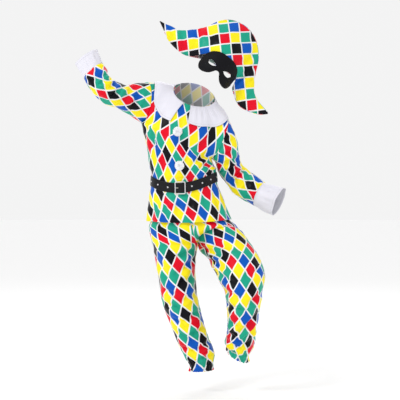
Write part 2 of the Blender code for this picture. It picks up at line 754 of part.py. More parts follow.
def build_hat(cloth):
    columns = smooth(HAT, np.linspace(0, len(HAT) - 1, HAT_COLUMNS + 1))
    down = np.array((-math.sin(HEAD_ROLL), 0, -math.cos(HEAD_ROLL)))
    grids = []
    for sign in (-1, 1):
        grid = np.empty((HAT_ROWS + 1, HAT_COLUMNS + 1, 3))
        for col, values in enumerate(columns):
            column = HatColumn(*values)
            depth = max(column.rim_depth, 0)
            top = np.array((column.top_x, HAT_MIDDLE, column.top_z))
            low = np.array((column.low_x, HAT_MIDDLE, column.low_z))
            if sign > 0:
                low = low + down * depth * HAT_BACK_DROP
            for row in range(HAT_ROWS + 1):
                h = row / HAT_ROWS
                spread = depth * math.sin(math.pi * h / 2) + column.bulge * 4 * h * (1 - h)
                grid[row, col] = top + (low - top) * h
                grid[row, col, 1] += sign * spread
        grids.append(grid)
    centres = []
    for grid in grids:
        centre = grid.copy()
        centre[..., 1] = HAT_MIDDLE
        centres.append(centre)
    for name, sign, grid, normal in zip(("hat_front", "hat_back"), (-1, 1), grids, outward_normals(grids, centres)):
        inner = grid - normal * HAT_WALL
        out_gap, in_gap = SEAM_GAP / 2 + 0.5, SEAM_GAP / 2
        outer = grid.copy()
        outer[..., 1] = HAT_MIDDLE + sign * np.maximum(sign * (grid[..., 1] - HAT_MIDDLE), out_gap)
        inner[..., 1] = HAT_MIDDLE + sign * np.maximum(sign * (inner[..., 1] - HAT_MIDDLE), in_gap)
        add_panel(name, outer, inner, cloth)


def on_head(along, up, lift):
    """A point on the oval head, along it from the line between the eyes, in the head's tilt."""
    angle = along / HEAD_HALF_WIDTH + HEAD_TURN
    x = (HEAD_HALF_WIDTH + lift) * math.sin(angle)
    y = -(HEAD_HALF_DEPTH + lift) * math.cos(angle) + up * up / BROW_SLOPE
    return head_frame(x, y, up)


def head_frame(x, y, up):
    """From the head's own axes to the costume's."""
    right = np.array((math.cos(HEAD_ROLL), 0, -math.sin(HEAD_ROLL)))
    top = np.array((math.sin(HEAD_ROLL), 0, math.cos(HEAD_ROLL)))
    return HEAD_CENTRE + right * x + np.array((0, y, 0)) + top * up


def build_mask(cloth):
    left = [MaskColumn(-c.along, *c[1:]) for c in reversed(MASK_SIDE[1:])]
    columns = left + list(MASK_SIDE)
    rows = []
    for column in columns:
        spans = (column.low, (column.low + column.eye_low) / 2, column.eye_low, column.eye_high)
        rest = np.linspace(column.eye_high, column.high, 4)[1:]
        rows.append([*spans, *rest])
    heights = np.array(rows).T
    outer = np.empty((*heights.shape, 3))
    inner = np.empty_like(outer)
    for (row, col), height in np.ndenumerate(heights):
        outer[row, col] = on_head(columns[col].along, height, MASK_WALL)
        inner[row, col] = on_head(columns[col].along, height, 0)
    middle = len(left)
    first, last = EYE_COLUMNS
    eyes = [middle + col for col in range(first, last)] + [middle - col - 1 for col in range(first, last)]
    add_panel("mask", outer, inner, cloth, holes={(2, col) for col in eyes})


def build_elastic(cloth):
    path = smooth(ELASTIC, np.linspace(0, len(ELASTIC) - 1, 25))
    outer = np.empty((2, len(path), 3))
    inner = np.empty_like(outer)
    for col, (x, y, up) in enumerate(path):
        away = unit(np.array((x, y + 8)))
        for row, side in enumerate((-0.5, 0.5)):
            height = up + side * ELASTIC_WIDTH
            outer[row, col] = head_frame(x, y, height)
            inner[row, col] = head_frame(x - away[0] * ELASTIC_WALL, y - away[1] * ELASTIC_WALL, height)
    add_panel("mask_elastic", outer, inner, cloth)


def build_pompom(name, x, z, tree, wool):
    """A core with a tapered three-sided lock on each face that looks away from the tunic."""
    spot = np.array(tree.ray_cast(Vector((x, -400, z)), Vector((0, 1, 0)))[0])
    way_out = laid_on(tree, spot, 0)[1]
    centre = spot + way_out * POMPOM_STAND_OFF
    shape = bmesh.new()
    bmesh.ops.create_icosphere(shape, subdivisions=2, radius=POMPOM_CORE)
    looking = [face for face in shape.faces if np.dot(face.normal, way_out) > -0.3]
    for number, face in enumerate(looking):
        reach = POMPOM_RADIUS * (1 - 0.07 * (number % 3))
        middle = face.calc_center_median()
        tip_middle = middle.normalized() * reach
        made = bmesh.ops.extrude_discrete_faces(shape, faces=[face])["faces"][0]
        for vertex in made.verts:
            vertex.co = tip_middle + (vertex.co - middle) * LOCK_TIP
    for vertex in shape.verts:
        vertex.co = (vertex.co + Vector(centre)) * MM
    bmesh.ops.recalc_face_normals(shape, faces=shape.faces)
    mesh = bpy.data.meshes.new(name)
    shape.to_mesh(mesh)
    shape.free()
    mesh.materials.append(wool)
    bpy.context.scene.collection.objects.link(bpy.data.objects.new(name, mesh))


# The whole costume

def main():
    for obj in list(bpy.data.objects):
        bpy.data.objects.remove(obj, do_unlink=True)
    diamond = add_material("diamond_satin", (0.75, 0.08, 0.12), 0.45)
    white = add_material("white_satin", (0.86, 0.86, 0.9), 0.4)
    black = add_material("black_satin", (0.02, 0.02, 0.025), 0.5)
    leather = add_material("black_leather", (0.02, 0.02, 0.02), 0.4)
    steel = add_material("steel", (0.75, 0.75, 0.76), 0.25, 1.0)
    wool = add_material("white_wool", (0.9, 0.9, 0.9), 0.9)

    front, back = tunic_grids()
    right_sleeve = tube_grid(RIGHT_SLEEVE, SLEEVE_PLACES, SLEEVE_COLUMNS, RIGHT_SLEEVE_FOLDS)
    left_sleeve = tube_grid(LEFT_SLEEVE, SLEEVE_PLACES, SLEEVE_COLUMNS, LEFT_SLEEVE_FOLDS)
    right_cuff = tube_grid(RIGHT_CUFF, CUFF_PLACES, SLEEVE_COLUMNS)
    left_cuff = tube_grid(LEFT_CUFF, CUFF_PLACES, SLEEVE_COLUMNS)
    right_cuff[0], left_cuff[0] = right_sleeve[-1], left_sleeve[-1]
    upper = [front, back, right_sleeve, left_sleeve, right_cuff, left_cuff]
    normals = outward_normals(upper, [row_centres(grid) for grid in upper])
    add_sewn("tunic_front", front, normals[0], CLOTH_WALL, "top left right", diamond)
    add_sewn("tunic_back", back, normals[1], CLOTH_WALL, "top left right", diamond)
    add_sewn("sleeve_right", right_sleeve, normals[2], CLOTH_WALL, "top bottom", diamond, 0)
    add_sewn("sleeve_left", left_sleeve, normals[3], CLOTH_WALL, "top bottom", diamond, 0)
    add_sewn("cuff_right", right_cuff, normals[4], CLOTH_WALL, "top", white, 0)
    add_sewn("cuff_left", left_cuff, normals[5], CLOTH_WALL, "top", white, 0)

    legs = [leg_grid(RIGHT_LEG, True, RIGHT_LEG_FOLDS), leg_grid(LEFT_LEG, False, LEFT_LEG_FOLDS)]
    band, way_out = waistband_grid(np.linspace(90, 450, 2 * LEG_COLUMNS + 1))
    add_sewn("trouser_waistband", band, way_out, CLOTH_WALL, "bottom", diamond, 0)
    leg_normals = outward_normals(legs, [row_centres(grid) for grid in legs])
    joined = len(HIP_PLACES) + len(CROTCH_STEPS)
    for name, grid, normal in zip(("trouser_leg_right", "trouser_leg_left"), legs, leg_normals):
        outer, inner = draw_in(grid, "top"), draw_in(grid - normal * CLOTH_WALL, "top")
        side = -1 if name.endswith("right") else 1
        for sheet in (outer, inner):
            sheet[: joined + 1, [0, -1], 0] += side * SEAM_GAP / 2
        add_panel(name, outer, inner, diamond, joined)

    tree = surface_tree([front, back, right_sleeve, left_sleeve])
    for name, stations in (("collar_right", RIGHT_COLLAR), ("collar_left", LEFT_COLLAR)):
        grid, normal = collar_grid(stations, tree)
        add_panel(name, grid, grid - normal * CLOTH_WALL, white)
    for name, x, z in POMPOMS:
        build_pompom(name, x, z, tree, wool)
    build_belt(leather, steel)
    build_hat(diamond)
    build_mask(black)
    build_elastic(black)


main()
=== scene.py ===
"""Looks of the harlequin costume: fine cloth, leather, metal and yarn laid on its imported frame.

Laid out as an add-on and run as a script. Tables are in millimetres, as in the part's source: X runs to the
viewer's right, Z up and the front faces -Y. "Right" and "left" are the wearer's. In a section, a is the
viewer's left edge and b its right edge.
"""

import json
import math
from collections import namedtuple

import bmesh
import bpy
import numpy as np
from bpy.props import FloatProperty, FloatVectorProperty, IntProperty, PointerProperty
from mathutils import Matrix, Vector, noise
from mathutils.bvhtree import BVHTree

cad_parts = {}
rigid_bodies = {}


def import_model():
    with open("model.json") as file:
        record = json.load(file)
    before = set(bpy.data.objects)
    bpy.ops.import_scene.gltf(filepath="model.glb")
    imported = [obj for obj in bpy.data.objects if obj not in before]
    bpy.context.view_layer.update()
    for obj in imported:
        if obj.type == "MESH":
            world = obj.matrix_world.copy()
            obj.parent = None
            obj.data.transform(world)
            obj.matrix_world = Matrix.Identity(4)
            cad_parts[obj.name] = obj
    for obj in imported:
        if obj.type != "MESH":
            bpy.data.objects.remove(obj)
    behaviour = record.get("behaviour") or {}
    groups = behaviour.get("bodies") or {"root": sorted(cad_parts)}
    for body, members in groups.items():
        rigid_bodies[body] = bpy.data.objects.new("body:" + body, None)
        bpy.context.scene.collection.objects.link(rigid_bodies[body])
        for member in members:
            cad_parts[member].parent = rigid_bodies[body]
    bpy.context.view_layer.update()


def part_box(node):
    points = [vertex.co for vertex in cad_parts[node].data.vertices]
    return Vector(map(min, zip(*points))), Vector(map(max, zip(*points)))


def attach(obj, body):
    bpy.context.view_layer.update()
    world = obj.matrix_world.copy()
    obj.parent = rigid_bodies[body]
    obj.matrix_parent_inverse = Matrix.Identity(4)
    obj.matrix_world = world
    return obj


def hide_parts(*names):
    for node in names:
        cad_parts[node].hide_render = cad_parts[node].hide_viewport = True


for startup_object in list(bpy.data.objects):
    bpy.data.objects.remove(startup_object, do_unlink=True)
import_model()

bl_info = {
    "name": "Harlequin Costume",
    "version": (1, 0, 0),
    "blender": (4, 5, 0),
    "location": "View3D > Sidebar > Costume",
    "description": "Dresses the harlequin costume's frame in its fabrics and trims, and sets up its studio",
    "category": "Object",
}

MM = 0.001

# Walls and gaps
CLOTH_WALL = 1.4
BEYOND_HEMS = 1000.0
LEAST_AREA_SHARE = 0.3
HAT_WALL = 2.0
MASK_WALL = 1.6
COLLAR_LIFT = 2.4
COLLAR_CLEARANCE = 0.6
UNDER_BELT_GAP = 0.8

# Fineness of the cloth: columns of points across a piece, and steps between the rows of its table
FRONT_COLUMNS = 80
BACK_COLUMNS = 72
SHOULDER_COLUMNS = 16
YOKE_ROWS = 28
TUNIC_STEPS = 5
SLEEVE_COLUMNS = 64
SLEEVE_STEPS = 7
CUFF_STEPS = 6
CUFF_GATHERS = 14
LEG_COLUMNS = 112
LEG_STEPS = 11
HIP_ROWS = 32
CROTCH_ROWS = 12
ANKLE_PLEATS = 22
COLLAR_COLUMNS = 16
COLLAR_ROWS = 4
COLLAR_COLUMN_STEPS = 12
COLLAR_ROW_STEPS = 6
HAT_COLUMNS = 110
HAT_ROWS = 40
BELT_ROWS = 17
MASK_COLUMNS = 60
GRIDS = {}

# Tunic below the armpits, as level rings: front_shift and front_drop move the centre front of a ring
Ring = namedtuple("Ring", "a_x a_z b_x b_z half_depth front_shift front_drop")
TUNIC_RINGS = (
    Ring(-197, -96, 66, -231, 86, -8, 0),
    Ring(-186, -142, 69, -244, 92, -8, 4),
    Ring(-174, -199, 75, -259, 97, -8, 12),
    Ring(-166, -264, 84, -268, 98, -10, 26),
    Ring(-158, -288, 82, -275, 88, -13, 35),
    Ring(-161, -338, 87, -325, 88, -13, 35),
    Ring(-168, -373, 101, -360, 97, -8, 24),
    Ring(-174, -416, 122, -412, 106, 0, 12),
    Ring(-180, -465, 142, -458, 112, 6, 8),
)
TUNIC_PLACES = (0, 0.6, 1.2, 1.8, 2.4, 2.8, 3.2, 3.6, 4, 5, 5.5, 6, 6.7, 7.4, 8)
BELT_RINGS = (4, 5)
BELT_EDGES = (0.13, 0.87)
CHEST_BULGE = 5
BACK_BULGE = 8

# Neck opening: a tilted oval
NECK_A = np.array((-69.0, 10.0, 38.0))
NECK_B = np.array((71.0, 10.0, -18.0))
NECK_FRONT = np.array((-25.0, -58.0, -40.0))

# Folds: angle round the ring (90 is centre front, 270 centre back), where along the table, and how deep
Fold = namedtuple("Fold", "angle start end width depth")
TUNIC_FOLDS = (
    Fold(22, 5.3, 8, 11, -11),
    Fold(50, 5.4, 8, 12, -9),
    Fold(80, 5.3, 8, 11, -12),
    Fold(112, 5.4, 8, 12, -11),
    Fold(140, 5.3, 8, 11, -10),
    Fold(164, 5.4, 8, 10, -8),
    Fold(205, 5.3, 8, 12, -9),
    Fold(236, 5.4, 8, 12, -11),
    Fold(268, 5.3, 8, 12, -10),
    Fold(300, 5.4, 8, 12, -11),
    Fold(332, 5.3, 8, 12, -9),
    Fold(150, 1.4, 3.6, 12, -6),
    Fold(120, 2.2, 3.7, 11, -5),
    Fold(58, 2.4, 3.7, 12, -5),
    Fold(96, 0.4, 2.6, 10, -4),
    Fold(230, 2.2, 3.7, 14, -5),
    Fold(290, 2.0, 3.7, 14, -6),
)

# Sleeves and cuffs, from the armhole down the arm
Tube = namedtuple("Tube", "a_x a_z b_x b_z y half_depth")
RIGHT_SLEEVE = (
    Tube(-176, 56, -197, -96, 0, 52),
    Tube(-214, 49, -235, -71, -25, 48),
    Tube(-251, 39, -274, -49, -55, 45),
    Tube(-289, 52, -322, -37, -85, 44),
    Tube(-309, 67, -360, -8, -108, 43),
    Tube(-319, 90, -382, 24, -110, 42),
    Tube(-334, 114, -400, 54, -98, 40),
)
RIGHT_CUFF = (
    Tube(-334, 114, -400, 54, -98, 40),
    Tube(-345, 143, -420, 86, -97, 43),
    Tube(-356, 167, -435, 112, -95, 45),
)
LEFT_SLEEVE = (
    Tube(127, -82, 66, -231, 0, 52),
    Tube(154, -146, 84, -245, 10, 48),
    Tube(165, -199, 92, -276, 30, 45),
    Tube(176, -244, 108, -306, 50, 43),
    Tube(201, -268, 129, -336, 58, 43),
    Tube(231, -291, 161, -371, 45, 42),
    Tube(270, -322, 227, -408, 15, 40),
)
LEFT_CUFF = (
    Tube(270, -322, 227, -408, 15, 40),
    Tube(305, -332, 260, -425, 4, 44),
    Tube(341, -341, 295, -442, -10, 47),
)
SLEEVE_PLACES = (0, 0.5, 1, 1.5, 2, 2.5, 3, 3.5, 4, 4.5, 5, 5.5, 6)
CUFF_PLACES = (0, 0.5, 1, 1.5, 2)
RIGHT_SLEEVE_FOLDS = (
    Fold(150, 2.6, 4.6, 20, -6),
    Fold(205, 3.0, 5.0, 20, -6),
    Fold(40, 1.0, 2.6, 18, -4),
    Fold(320, 1.2, 3.2, 20, -4),
)
LEFT_SLEEVE_FOLDS = (
    Fold(130, 2.8, 5.0, 20, -6),
    Fold(215, 2.6, 4.8, 20, -6),
    Fold(60, 3.0, 4.6, 18, -4),
    Fold(300, 1.0, 3.0, 20, -4),
)

# Trousers: rings round both legs down to the hip, then a tube for each leg
TROUSER_RINGS = (
    Ring(-158, -333, 84, -321, 86, -13, 35),
    Ring(-156, -420, 98, -414, 84, -3, 10),
    Ring(-160, -455, 119, -450, 87, 0, 4),
    Ring(-169, -486, 156, -478, 93, 0, 0),
)
WAISTBAND_PLACES = (4.4, 4.93)
CROTCH = np.array((15.0, 0.0, -547.0))
RIGHT_LEG = (
    Tube(-158, -547, 15, -547, 0, 90),
    Tube(-150, -580, 9, -586, 0, 86),
    Tube(-138, -652, 4, -652, 2, 79),
    Tube(-126, -724, 9, -717, 4, 75),
    Tube(-115, -786, 21, -784, 6, 72),
    Tube(-94, -836, 34, -836, 8, 70),
    Tube(-74, -892, 51, -892, 10, 67),
    Tube(-53, -941, 71, -941, 12, 62),
    Tube(-34, -979, 74, -968, 14, 55),
    Tube(-17, -1006, 71, -998, 15, 44),
    Tube(-19, -1029, 72, -1024, 15, 47),
)
LEFT_LEG = (
    Tube(15, -547, 199, -544, 0, 93),
    Tube(46, -579, 226, -590, -42, 88),
    Tube(71, -624, 255, -641, -92, 84),
    Tube(91, -672, 261, -674, -120, 80),
    Tube(112, -726, 249, -728, -124, 74),
    Tube(120, -787, 241, -788, -104, 70),
    Tube(124, -847, 232, -848, -76, 66),
    Tube(120, -889, 227, -893, -52, 62),
    Tube(115, -912, 219, -935, -34, 55),
    Tube(122, -924, 204, -966, -24, 44),
    Tube(120, -941, 205, -988, -18, 47),
)
LEG_PLACES = (0, 0.6, 1.2, 2, 2.8, 3.6, 4.4, 5.2, 6, 6.8, 7.5, 8.2, 9, 10)
RIGHT_LEG_FOLDS = (
    Fold(100, 0.4, 3.0, 18, -5),
    Fold(150, 0.2, 2.4, 16, -5),
    Fold(60, 5.6, 8.6, 18, -5),
    Fold(130, 6.4, 9.0, 16, -5),
    Fold(250, 4.6, 8.0, 20, -5),
    Fold(310, 0.4, 3.0, 20, -5),
)
LEFT_LEG_FOLDS = (
    Fold(40, 0.4, 2.6, 16, -6),
    Fold(75, 5.2, 8.4, 16, -6),
    Fold(20, 3.0, 5.2, 18, -5),
    Fold(135, 6.0, 8.8, 16, -5),
    Fold(240, 2.4, 4.6, 22, -6),
    Fold(290, 4.4, 7.6, 20, -5),
)

# Collar halves: the place on the neck oval where a station starts, and the outer edge it reaches
Station = namedtuple("Station", "neck_angle x y z")
RIGHT_COLLAR = (
    Station(80, -88, -90, -94),
    Station(58, -121, -70, -77),
    Station(36, -140, -50, -46),
    Station(16, -151, -25, -6),
    Station(-4, -150, 8, 44),
    Station(-26, -138, 55, 40),
    Station(-48, -96, 92, 22),
    Station(-70, -50, 108, -6),
    Station(-89, -8, 112, -24),
)
LEFT_COLLAR = (
    Station(99, -21, -98, -99),
    Station(114, 13, -96, -109),
    Station(130, 49, -88, -112),
    Station(146, 84, -70, -108),
    Station(162, 113, -44, -97),
    Station(178, 133, -4, -76),
    Station(200, 128, 50, -62),
    Station(222, 98, 86, -52),
    Station(246, 48, 106, -38),
    Station(269, -4, 112, -25),
)
COLLAR_SWELL = 6
COLLAR_MIDDLE = np.array((-20.0, 0.0, -60.0))
CLEARING_ROUNDS = 60
CLEARING_STEP = 0.4
NECK_INSET = 0.05

# Belt: distances along it start at the centre of the buckle and run to the viewer's right
BELT_WALL = 2.0
BELT_FIXED_END = 8
BELT_TAIL = 105
BELT_CLIMB = (
    (-18, 1.8), (-14, 2.4), (-11.5, 3.2), (-6, 5.2), (0, 7.0), (9, 7.8), (18, 7.8), (28, 6.4), (42, 4.2)
)
BELT_AT_BUCKLE = (-20, 2)
BELT_STEPS = (3.0, 1.2, 2.5)
BELT_END_ROUND = 15
BELT_EDGE_ROUND = 0.7
PRONG_HOLE = (-13.6, -6)
PRONG_PATH = ((15.6, 4.6), (4, 4.2), (-6.5, 2.9), (-12.6, 5.4), (-15.2, 7.6), (-19, 7.6))
PRONG_WIDTH = 2.6
PRONG_HALF_DEPTH = 0.95
PRONG_TIP_TAPER = (1, 0.95, 0.8, 0.5)
PRONG_RINGS = 31
PIN_RINGS = ((-9, 0.9), (-8.6, 1.2), (8.6, 1.2), (9, 0.9))
BUCKLE_WIDTH = 40
BUCKLE_HEIGHT = 47
BUCKLE_BAR = 3.6
BUCKLE_WALL = 2.5
BUCKLE_LIFT = 2.8
BUCKLE_CORNER = 4.0
BAR_SIDES = 16
BAR_SQUARENESS = 0.7
BUCKLE_TILT = 0.165
BUCKLE_LEVEL_AT = -17
STUD_SPACING = 42
STUD_FIRST = 43
STUD_RADIUS = 3.0
STUD_SIDES = 24
# The stud's outline from the strap to the dome's top: a share of its radius, and the height there
STUD_PROFILE = (
    (1.0, 0.0), (1.0, 0.35), (0.9, 0.55), (0.86, 0.5), (0.8, 0.9), (0.62, 1.4), (0.36, 1.72), (0.1, 1.85)
)

# Hat: columns from the viewer's left tip to the right tip; top seam, lower edge, rim depth and bulge
HatColumn = namedtuple("HatColumn", "top_x top_z low_x low_z rim_depth bulge")
HAT = (
    HatColumn(-128, 286, -129, 283, 0, 2),
    HatColumn(-109, 275, -114, 251, 0, 8),
    HatColumn(-84, 265, -101, 219, 0, 15),
    HatColumn(-56, 251, -77, 189, 0, 20),
    HatColumn(-24, 251, -43, 161, 0, 23),
    HatColumn(9, 255, -11, 152, 4, 24),
    HatColumn(49, 264, 34, 156, 44, 14),
    HatColumn(94, 285, 71, 154, 70, 8),
    HatColumn(139, 289, 105, 139, 84, 4),
    HatColumn(184, 272, 135, 116, 76, 5),
    HatColumn(218, 240, 156, 90, 46, 9),
    HatColumn(238, 195, 158, 62, 20, 16),
    HatColumn(242, 139, 143, 34, 0, 22),
    HatColumn(230, 82, 150, 4, 0, 20),
    HatColumn(226, 26, 167, -32, 0, 16),
    HatColumn(238, -11, 202, -54, 0, 11),
    HatColumn(261, -39, 244, -66, 0, 6),
    HatColumn(280, -61, 278, -64, 0, 2),
)
HAT_MIDDLE = -5
HAT_BACK_DROP = 0.26

# Half mask on a general oval head: along is measured round the head, up from the line of the eyes
HEAD_CENTRE = np.array((87.0, -10.0, 103.0))
HEAD_ROLL = math.radians(37.7)
HEAD_TURN = math.radians(8)
HEAD_HALF_WIDTH = 78
HEAD_HALF_DEPTH = 93
BROW_SLOPE = 240
MaskColumn = namedtuple("MaskColumn", "along low eye_low eye_high high")
MASK_SIDE = (
    MaskColumn(0, -13, -3, 3, 53),
    MaskColumn(8, -16, -3, 3, 53.5),
    MaskColumn(16, -27, -3, 2, 53.5),
    MaskColumn(24, -36, -7, 5, 52.5),
    MaskColumn(32, -41, -9, 8, 51),
    MaskColumn(40, -44, -9.5, 9, 48.5),
    MaskColumn(48, -46, -8, 9.5, 45),
    MaskColumn(56, -46, -3, 6, 41),
    MaskColumn(64, -45, -3, 3, 36),
    MaskColumn(74, -41, -3, 3, 27),
    MaskColumn(84, -32, -4, 3, 15),
    MaskColumn(91, -20, -5, 2, 6),
)
EYE_COLUMNS = (2, 7)
EYE_ROUND = 9
MASK_ROWS_TO_EYE = 17
MASK_ROWS_FROM_EYE = 25
ElasticPoint = namedtuple("ElasticPoint", "x y up")
ELASTIC = (
    ElasticPoint(-62.3, -54.6, -6),
    ElasticPoint(-66.3, -47.4, -5),
    ElasticPoint(-75, -24, -1),
    ElasticPoint(-85, 6, 2),
    ElasticPoint(-74, 36, 14),
    ElasticPoint(-42, 54, 26),
    ElasticPoint(0, 59, 31),
    ElasticPoint(36, 52, 30),
    ElasticPoint(60, 30, 22),
    ElasticPoint(72, 2, 10),
    ElasticPoint(74.6, -23.6, 2),
    ElasticPoint(72.4, -32.2, 1),
)
ELASTIC_WIDTH = 6
ELASTIC_WALL = 1.2
ELASTIC_ROWS = 7
ELASTIC_COLUMNS = 121

# Pompoms on the centre front. A strand's rings: how far along it each lies, and its half width there.
POMPOMS = ("pompom_upper", "pompom_lower")
POMPOM_CORE = 8.4
POMPOM_RADIUS = 18
STRAND_RINGS = ((0.35, 0.55), (0.75, 0.5), (1.0, 0.16))
STRAND_CORNERS = (0, 2.094, 4.189)
GOLDEN_ANGLE = 2.399963

# A crease is a soft trough with a low ridge on each side. The ridge's place and width are in the
# crease's own widths.
CREASE_STEPS = 16
RIDGE_HEIGHT = 0.42
RIDGE_AT = 1.9
RIDGE_WIDTH = 0.9
CREASE_SWING = 0.25
UNEVEN_SCALE = 0.017
UNEVEN_DEPTH = 1.7

# Creases are listed on the front (side -1) or the back (side 1), from one point to another
Crease = namedtuple("Crease", "side x_0 z_0 x_1 z_1 bow width depth")
TUNIC_CREASES = (
    Crease(-1, -186, -112, -128, -176, 10, 9, 4.5),
    Crease(-1, -180, -150, -118, -232, 12, 10, 4.0),
    Crease(-1, -150, -120, -142, -262, -8, 9, 4.0),
    Crease(-1, -112, -150, -120, -270, 6, 10, 3.0),
    Crease(-1, -34, -60, -62, -210, -6, 9, 3.2),
    Crease(-1, 58, -214, -8, -262, -10, 9, 5.0),
    Crease(-1, 66, -240, 12, -278, -8, 8, 4.5),
    Crease(-1, 52, -160, 8, -212, -8, 10, 3.6),
    Crease(-1, -22, -208, -34, -272, 3, 7, 3.6),
    Crease(-1, -96, -222, -84, -284, 3, 7, 3.2),
    Crease(-1, -70, -236, -66, -292, 2, 6, 2.6),
    Crease(-1, 20, -236, 26, -280, 2, 6, 2.8),
    Crease(-1, -130, -350, -148, -440, 4, 9, 3.8),
    Crease(-1, -100, -360, -108, -452, -4, 9, 3.4),
    Crease(-1, -58, -372, -62, -458, 3, 9, 3.6),
    Crease(-1, -12, -366, -6, -462, -5, 10, 4.0),
    Crease(-1, 34, -352, 48, -446, 4, 9, 3.4),
    Crease(-1, 70, -344, 98, -436, 5, 8, 3.6),
    Crease(-1, -40, -350, -90, -392, 6, 7, 3.0),
    Crease(-1, 8, -348, 30, -390, -4, 7, 2.6),
    Crease(1, -170, -120, -104, -190, 10, 10, 4.2),
    Crease(1, -158, -150, -96, -250, 10, 10, 3.4),
    Crease(1, 62, -220, -10, -240, -10, 10, 4.4),
    Crease(1, 60, -180, 0, -214, -8, 10, 3.4),
    Crease(1, -60, -60, -70, -200, 5, 11, 2.8),
    Crease(1, 10, -70, 4, -190, -5, 11, 2.6),
    Crease(1, -110, -216, -104, -280, 3, 7, 3.0),
    Crease(1, -66, -222, -62, -282, -2, 7, 3.2),
    Crease(1, -24, -218, -20, -280, 2, 7, 2.8),
    Crease(1, 24, -222, 30, -276, 2, 6, 2.8),
    Crease(1, -124, -346, -140, -444, 4, 9, 3.6),
    Crease(1, -78, -350, -84, -452, -4, 10, 3.6),
    Crease(1, -30, -350, -24, -450, 3, 9, 3.4),
    Crease(1, 22, -344, 34, -446, -4, 9, 3.4),
    Crease(1, 66, -340, 92, -438, 5, 9, 3.6),
)
RIGHT_SLEEVE_CREASES = (
    Crease(-1, -196, 20, -236, -60, 8, 9, 4.5),
    Crease(-1, -214, 34, -262, -30, -6, 8, 3.6),
    Crease(-1, -262, 30, -306, -16, 8, 7, 4.6),
    Crease(-1, -280, 44, -340, 12, 6, 7, 5.0),
    Crease(-1, -292, 58, -352, 30, -6, 7, 4.6),
    Crease(-1, -308, 76, -372, 48, 6, 8, 3.8),
    Crease(-1, -318, 96, -386, 74, -5, 8, 3.0),
    Crease(1, -200, 26, -240, -56, 8, 9, 4.2),
    Crease(1, -256, 34, -300, -28, 6, 8, 4.4),
    Crease(1, -284, 50, -346, 10, -6, 8, 4.6),
    Crease(1, -306, 80, -370, 50, 6, 8, 3.8),
    Crease(1, -318, 100, -388, 78, -5, 8, 3.0),
)
LEFT_SLEEVE_CREASES = (
    Crease(-1, 134, -120, 78, -168, 8, 9, 4.4),
    Crease(-1, 146, -156, 84, -210, -6, 8, 4.4),
    Crease(-1, 160, -196, 92, -226, 8, 8, 4.6),
    Crease(-1, 172, -232, 100, -252, 6, 7, 5.2),
    Crease(-1, 180, -250, 112, -292, -6, 7, 5.4),
    Crease(-1, 188, -264, 134, -322, 6, 7, 4.8),
    Crease(-1, 216, -282, 168, -352, -6, 8, 4.2),
    Crease(-1, 246, -304, 200, -386, 5, 8, 3.4),
    Crease(1, 140, -136, 80, -190, 8, 9, 4.2),
    Crease(1, 164, -206, 94, -240, -8, 8, 4.6),
    Crease(1, 178, -246, 112, -290, 6, 7, 4.8),
    Crease(1, 212, -276, 160, -344, 6, 8, 4.2),
    Crease(1, 248, -304, 204, -388, -5, 8, 3.4),
)
RIGHT_LEG_CREASES = (
    Crease(-1, 6, -566, -92, -604, 10, 9, 5.5),
    Crease(-1, 10, -590, -70, -662, 12, 9, 5.0),
    Crease(-1, 2, -548, -120, -560, -8, 8, 4.2),
    Crease(-1, -146, -600, -90, -690, 8, 11, 4.0),
    Crease(-1, 6, -664, -66, -700, 8, 9, 4.8),
    Crease(-1, -122, -716, -52, -752, 10, 9, 5.0),
    Crease(-1, 16, -736, -60, -768, -8, 9, 5.0),
    Crease(-1, -112, -770, -30, -806, 10, 8, 5.4),
    Crease(-1, 26, -790, -46, -838, 8, 8, 4.8),
    Crease(-1, -94, -820, -22, -872, 10, 8, 5.0),
    Crease(-1, 44, -852, -24, -890, 8, 8, 5.0),
    Crease(-1, -70, -878, 10, -930, 9, 8, 5.0),
    Crease(-1, 60, -912, -6, -944, 8, 7, 4.6),
    Crease(-1, -46, -934, 22, -972, 7, 7, 4.6),
    Crease(-1, 66, -960, 12, -986, -5, 6, 4.0),
    Crease(1, 0, -570, -100, -640, 12, 11, 5.0),
    Crease(1, -140, -600, -50, -690, 12, 12, 4.2),
    Crease(1, 2, -680, -90, -720, -10, 10, 5.0),
    Crease(1, -118, -742, -20, -780, 10, 9, 5.6),
    Crease(1, 20, -780, -80, -826, 10, 9, 5.4),
    Crease(1, -90, -842, 10, -880, 9, 9, 4.8),
    Crease(1, 50, -880, -40, -930, 8, 8, 4.8),
    Crease(1, -46, -930, 40, -966, 8, 7, 4.4),
)
LEFT_LEG_CREASES = (
    Crease(-1, 24, -560, 118, -590, -12, 9, 5.5),
    Crease(-1, 34, -584, 128, -640, -12, 10, 4.6),
    Crease(-1, 60, -552, 176, -566, 8, 8, 4.2),
    Crease(-1, 76, -642, 160, -690, -10, 10, 4.6),
    Crease(-1, 246, -640, 170, -668, -8, 10, 4.4),
    Crease(-1, 106, -712, 186, -742, -10, 9, 5.4),
    Crease(-1, 246, -716, 176, -772, 10, 9, 5.2),
    Crease(-1, 118, -764, 196, -786, -8, 8, 5.4),
    Crease(-1, 236, -792, 150, -880, 12, 9, 7.0),
    Crease(-1, 238, -836, 168, -906, 9, 8, 5.6),
    Crease(-1, 120, -822, 172, -852, -6, 8, 4.6),
    Crease(-1, 118, -872, 178, -918, 7, 7, 5.0),
    Crease(-1, 226, -886, 168, -936, -6, 7, 4.6),
    Crease(-1, 128, -914, 190, -948, 5, 6, 4.0),
    Crease(1, 40, -590, 150, -640, -12, 12, 5.0),
    Crease(1, 90, -660, 210, -700, -12, 11, 5.0),
    Crease(1, 240, -700, 130, -740, 10, 9, 6.0),
    Crease(1, 120, -750, 220, -782, -10, 9, 6.0),
    Crease(1, 232, -800, 140, -846, 10, 9, 5.2),
    Crease(1, 124, -860, 210, -900, -8, 8, 5.0),
    Crease(1, 216, -910, 136, -946, 6, 7, 4.2),
)
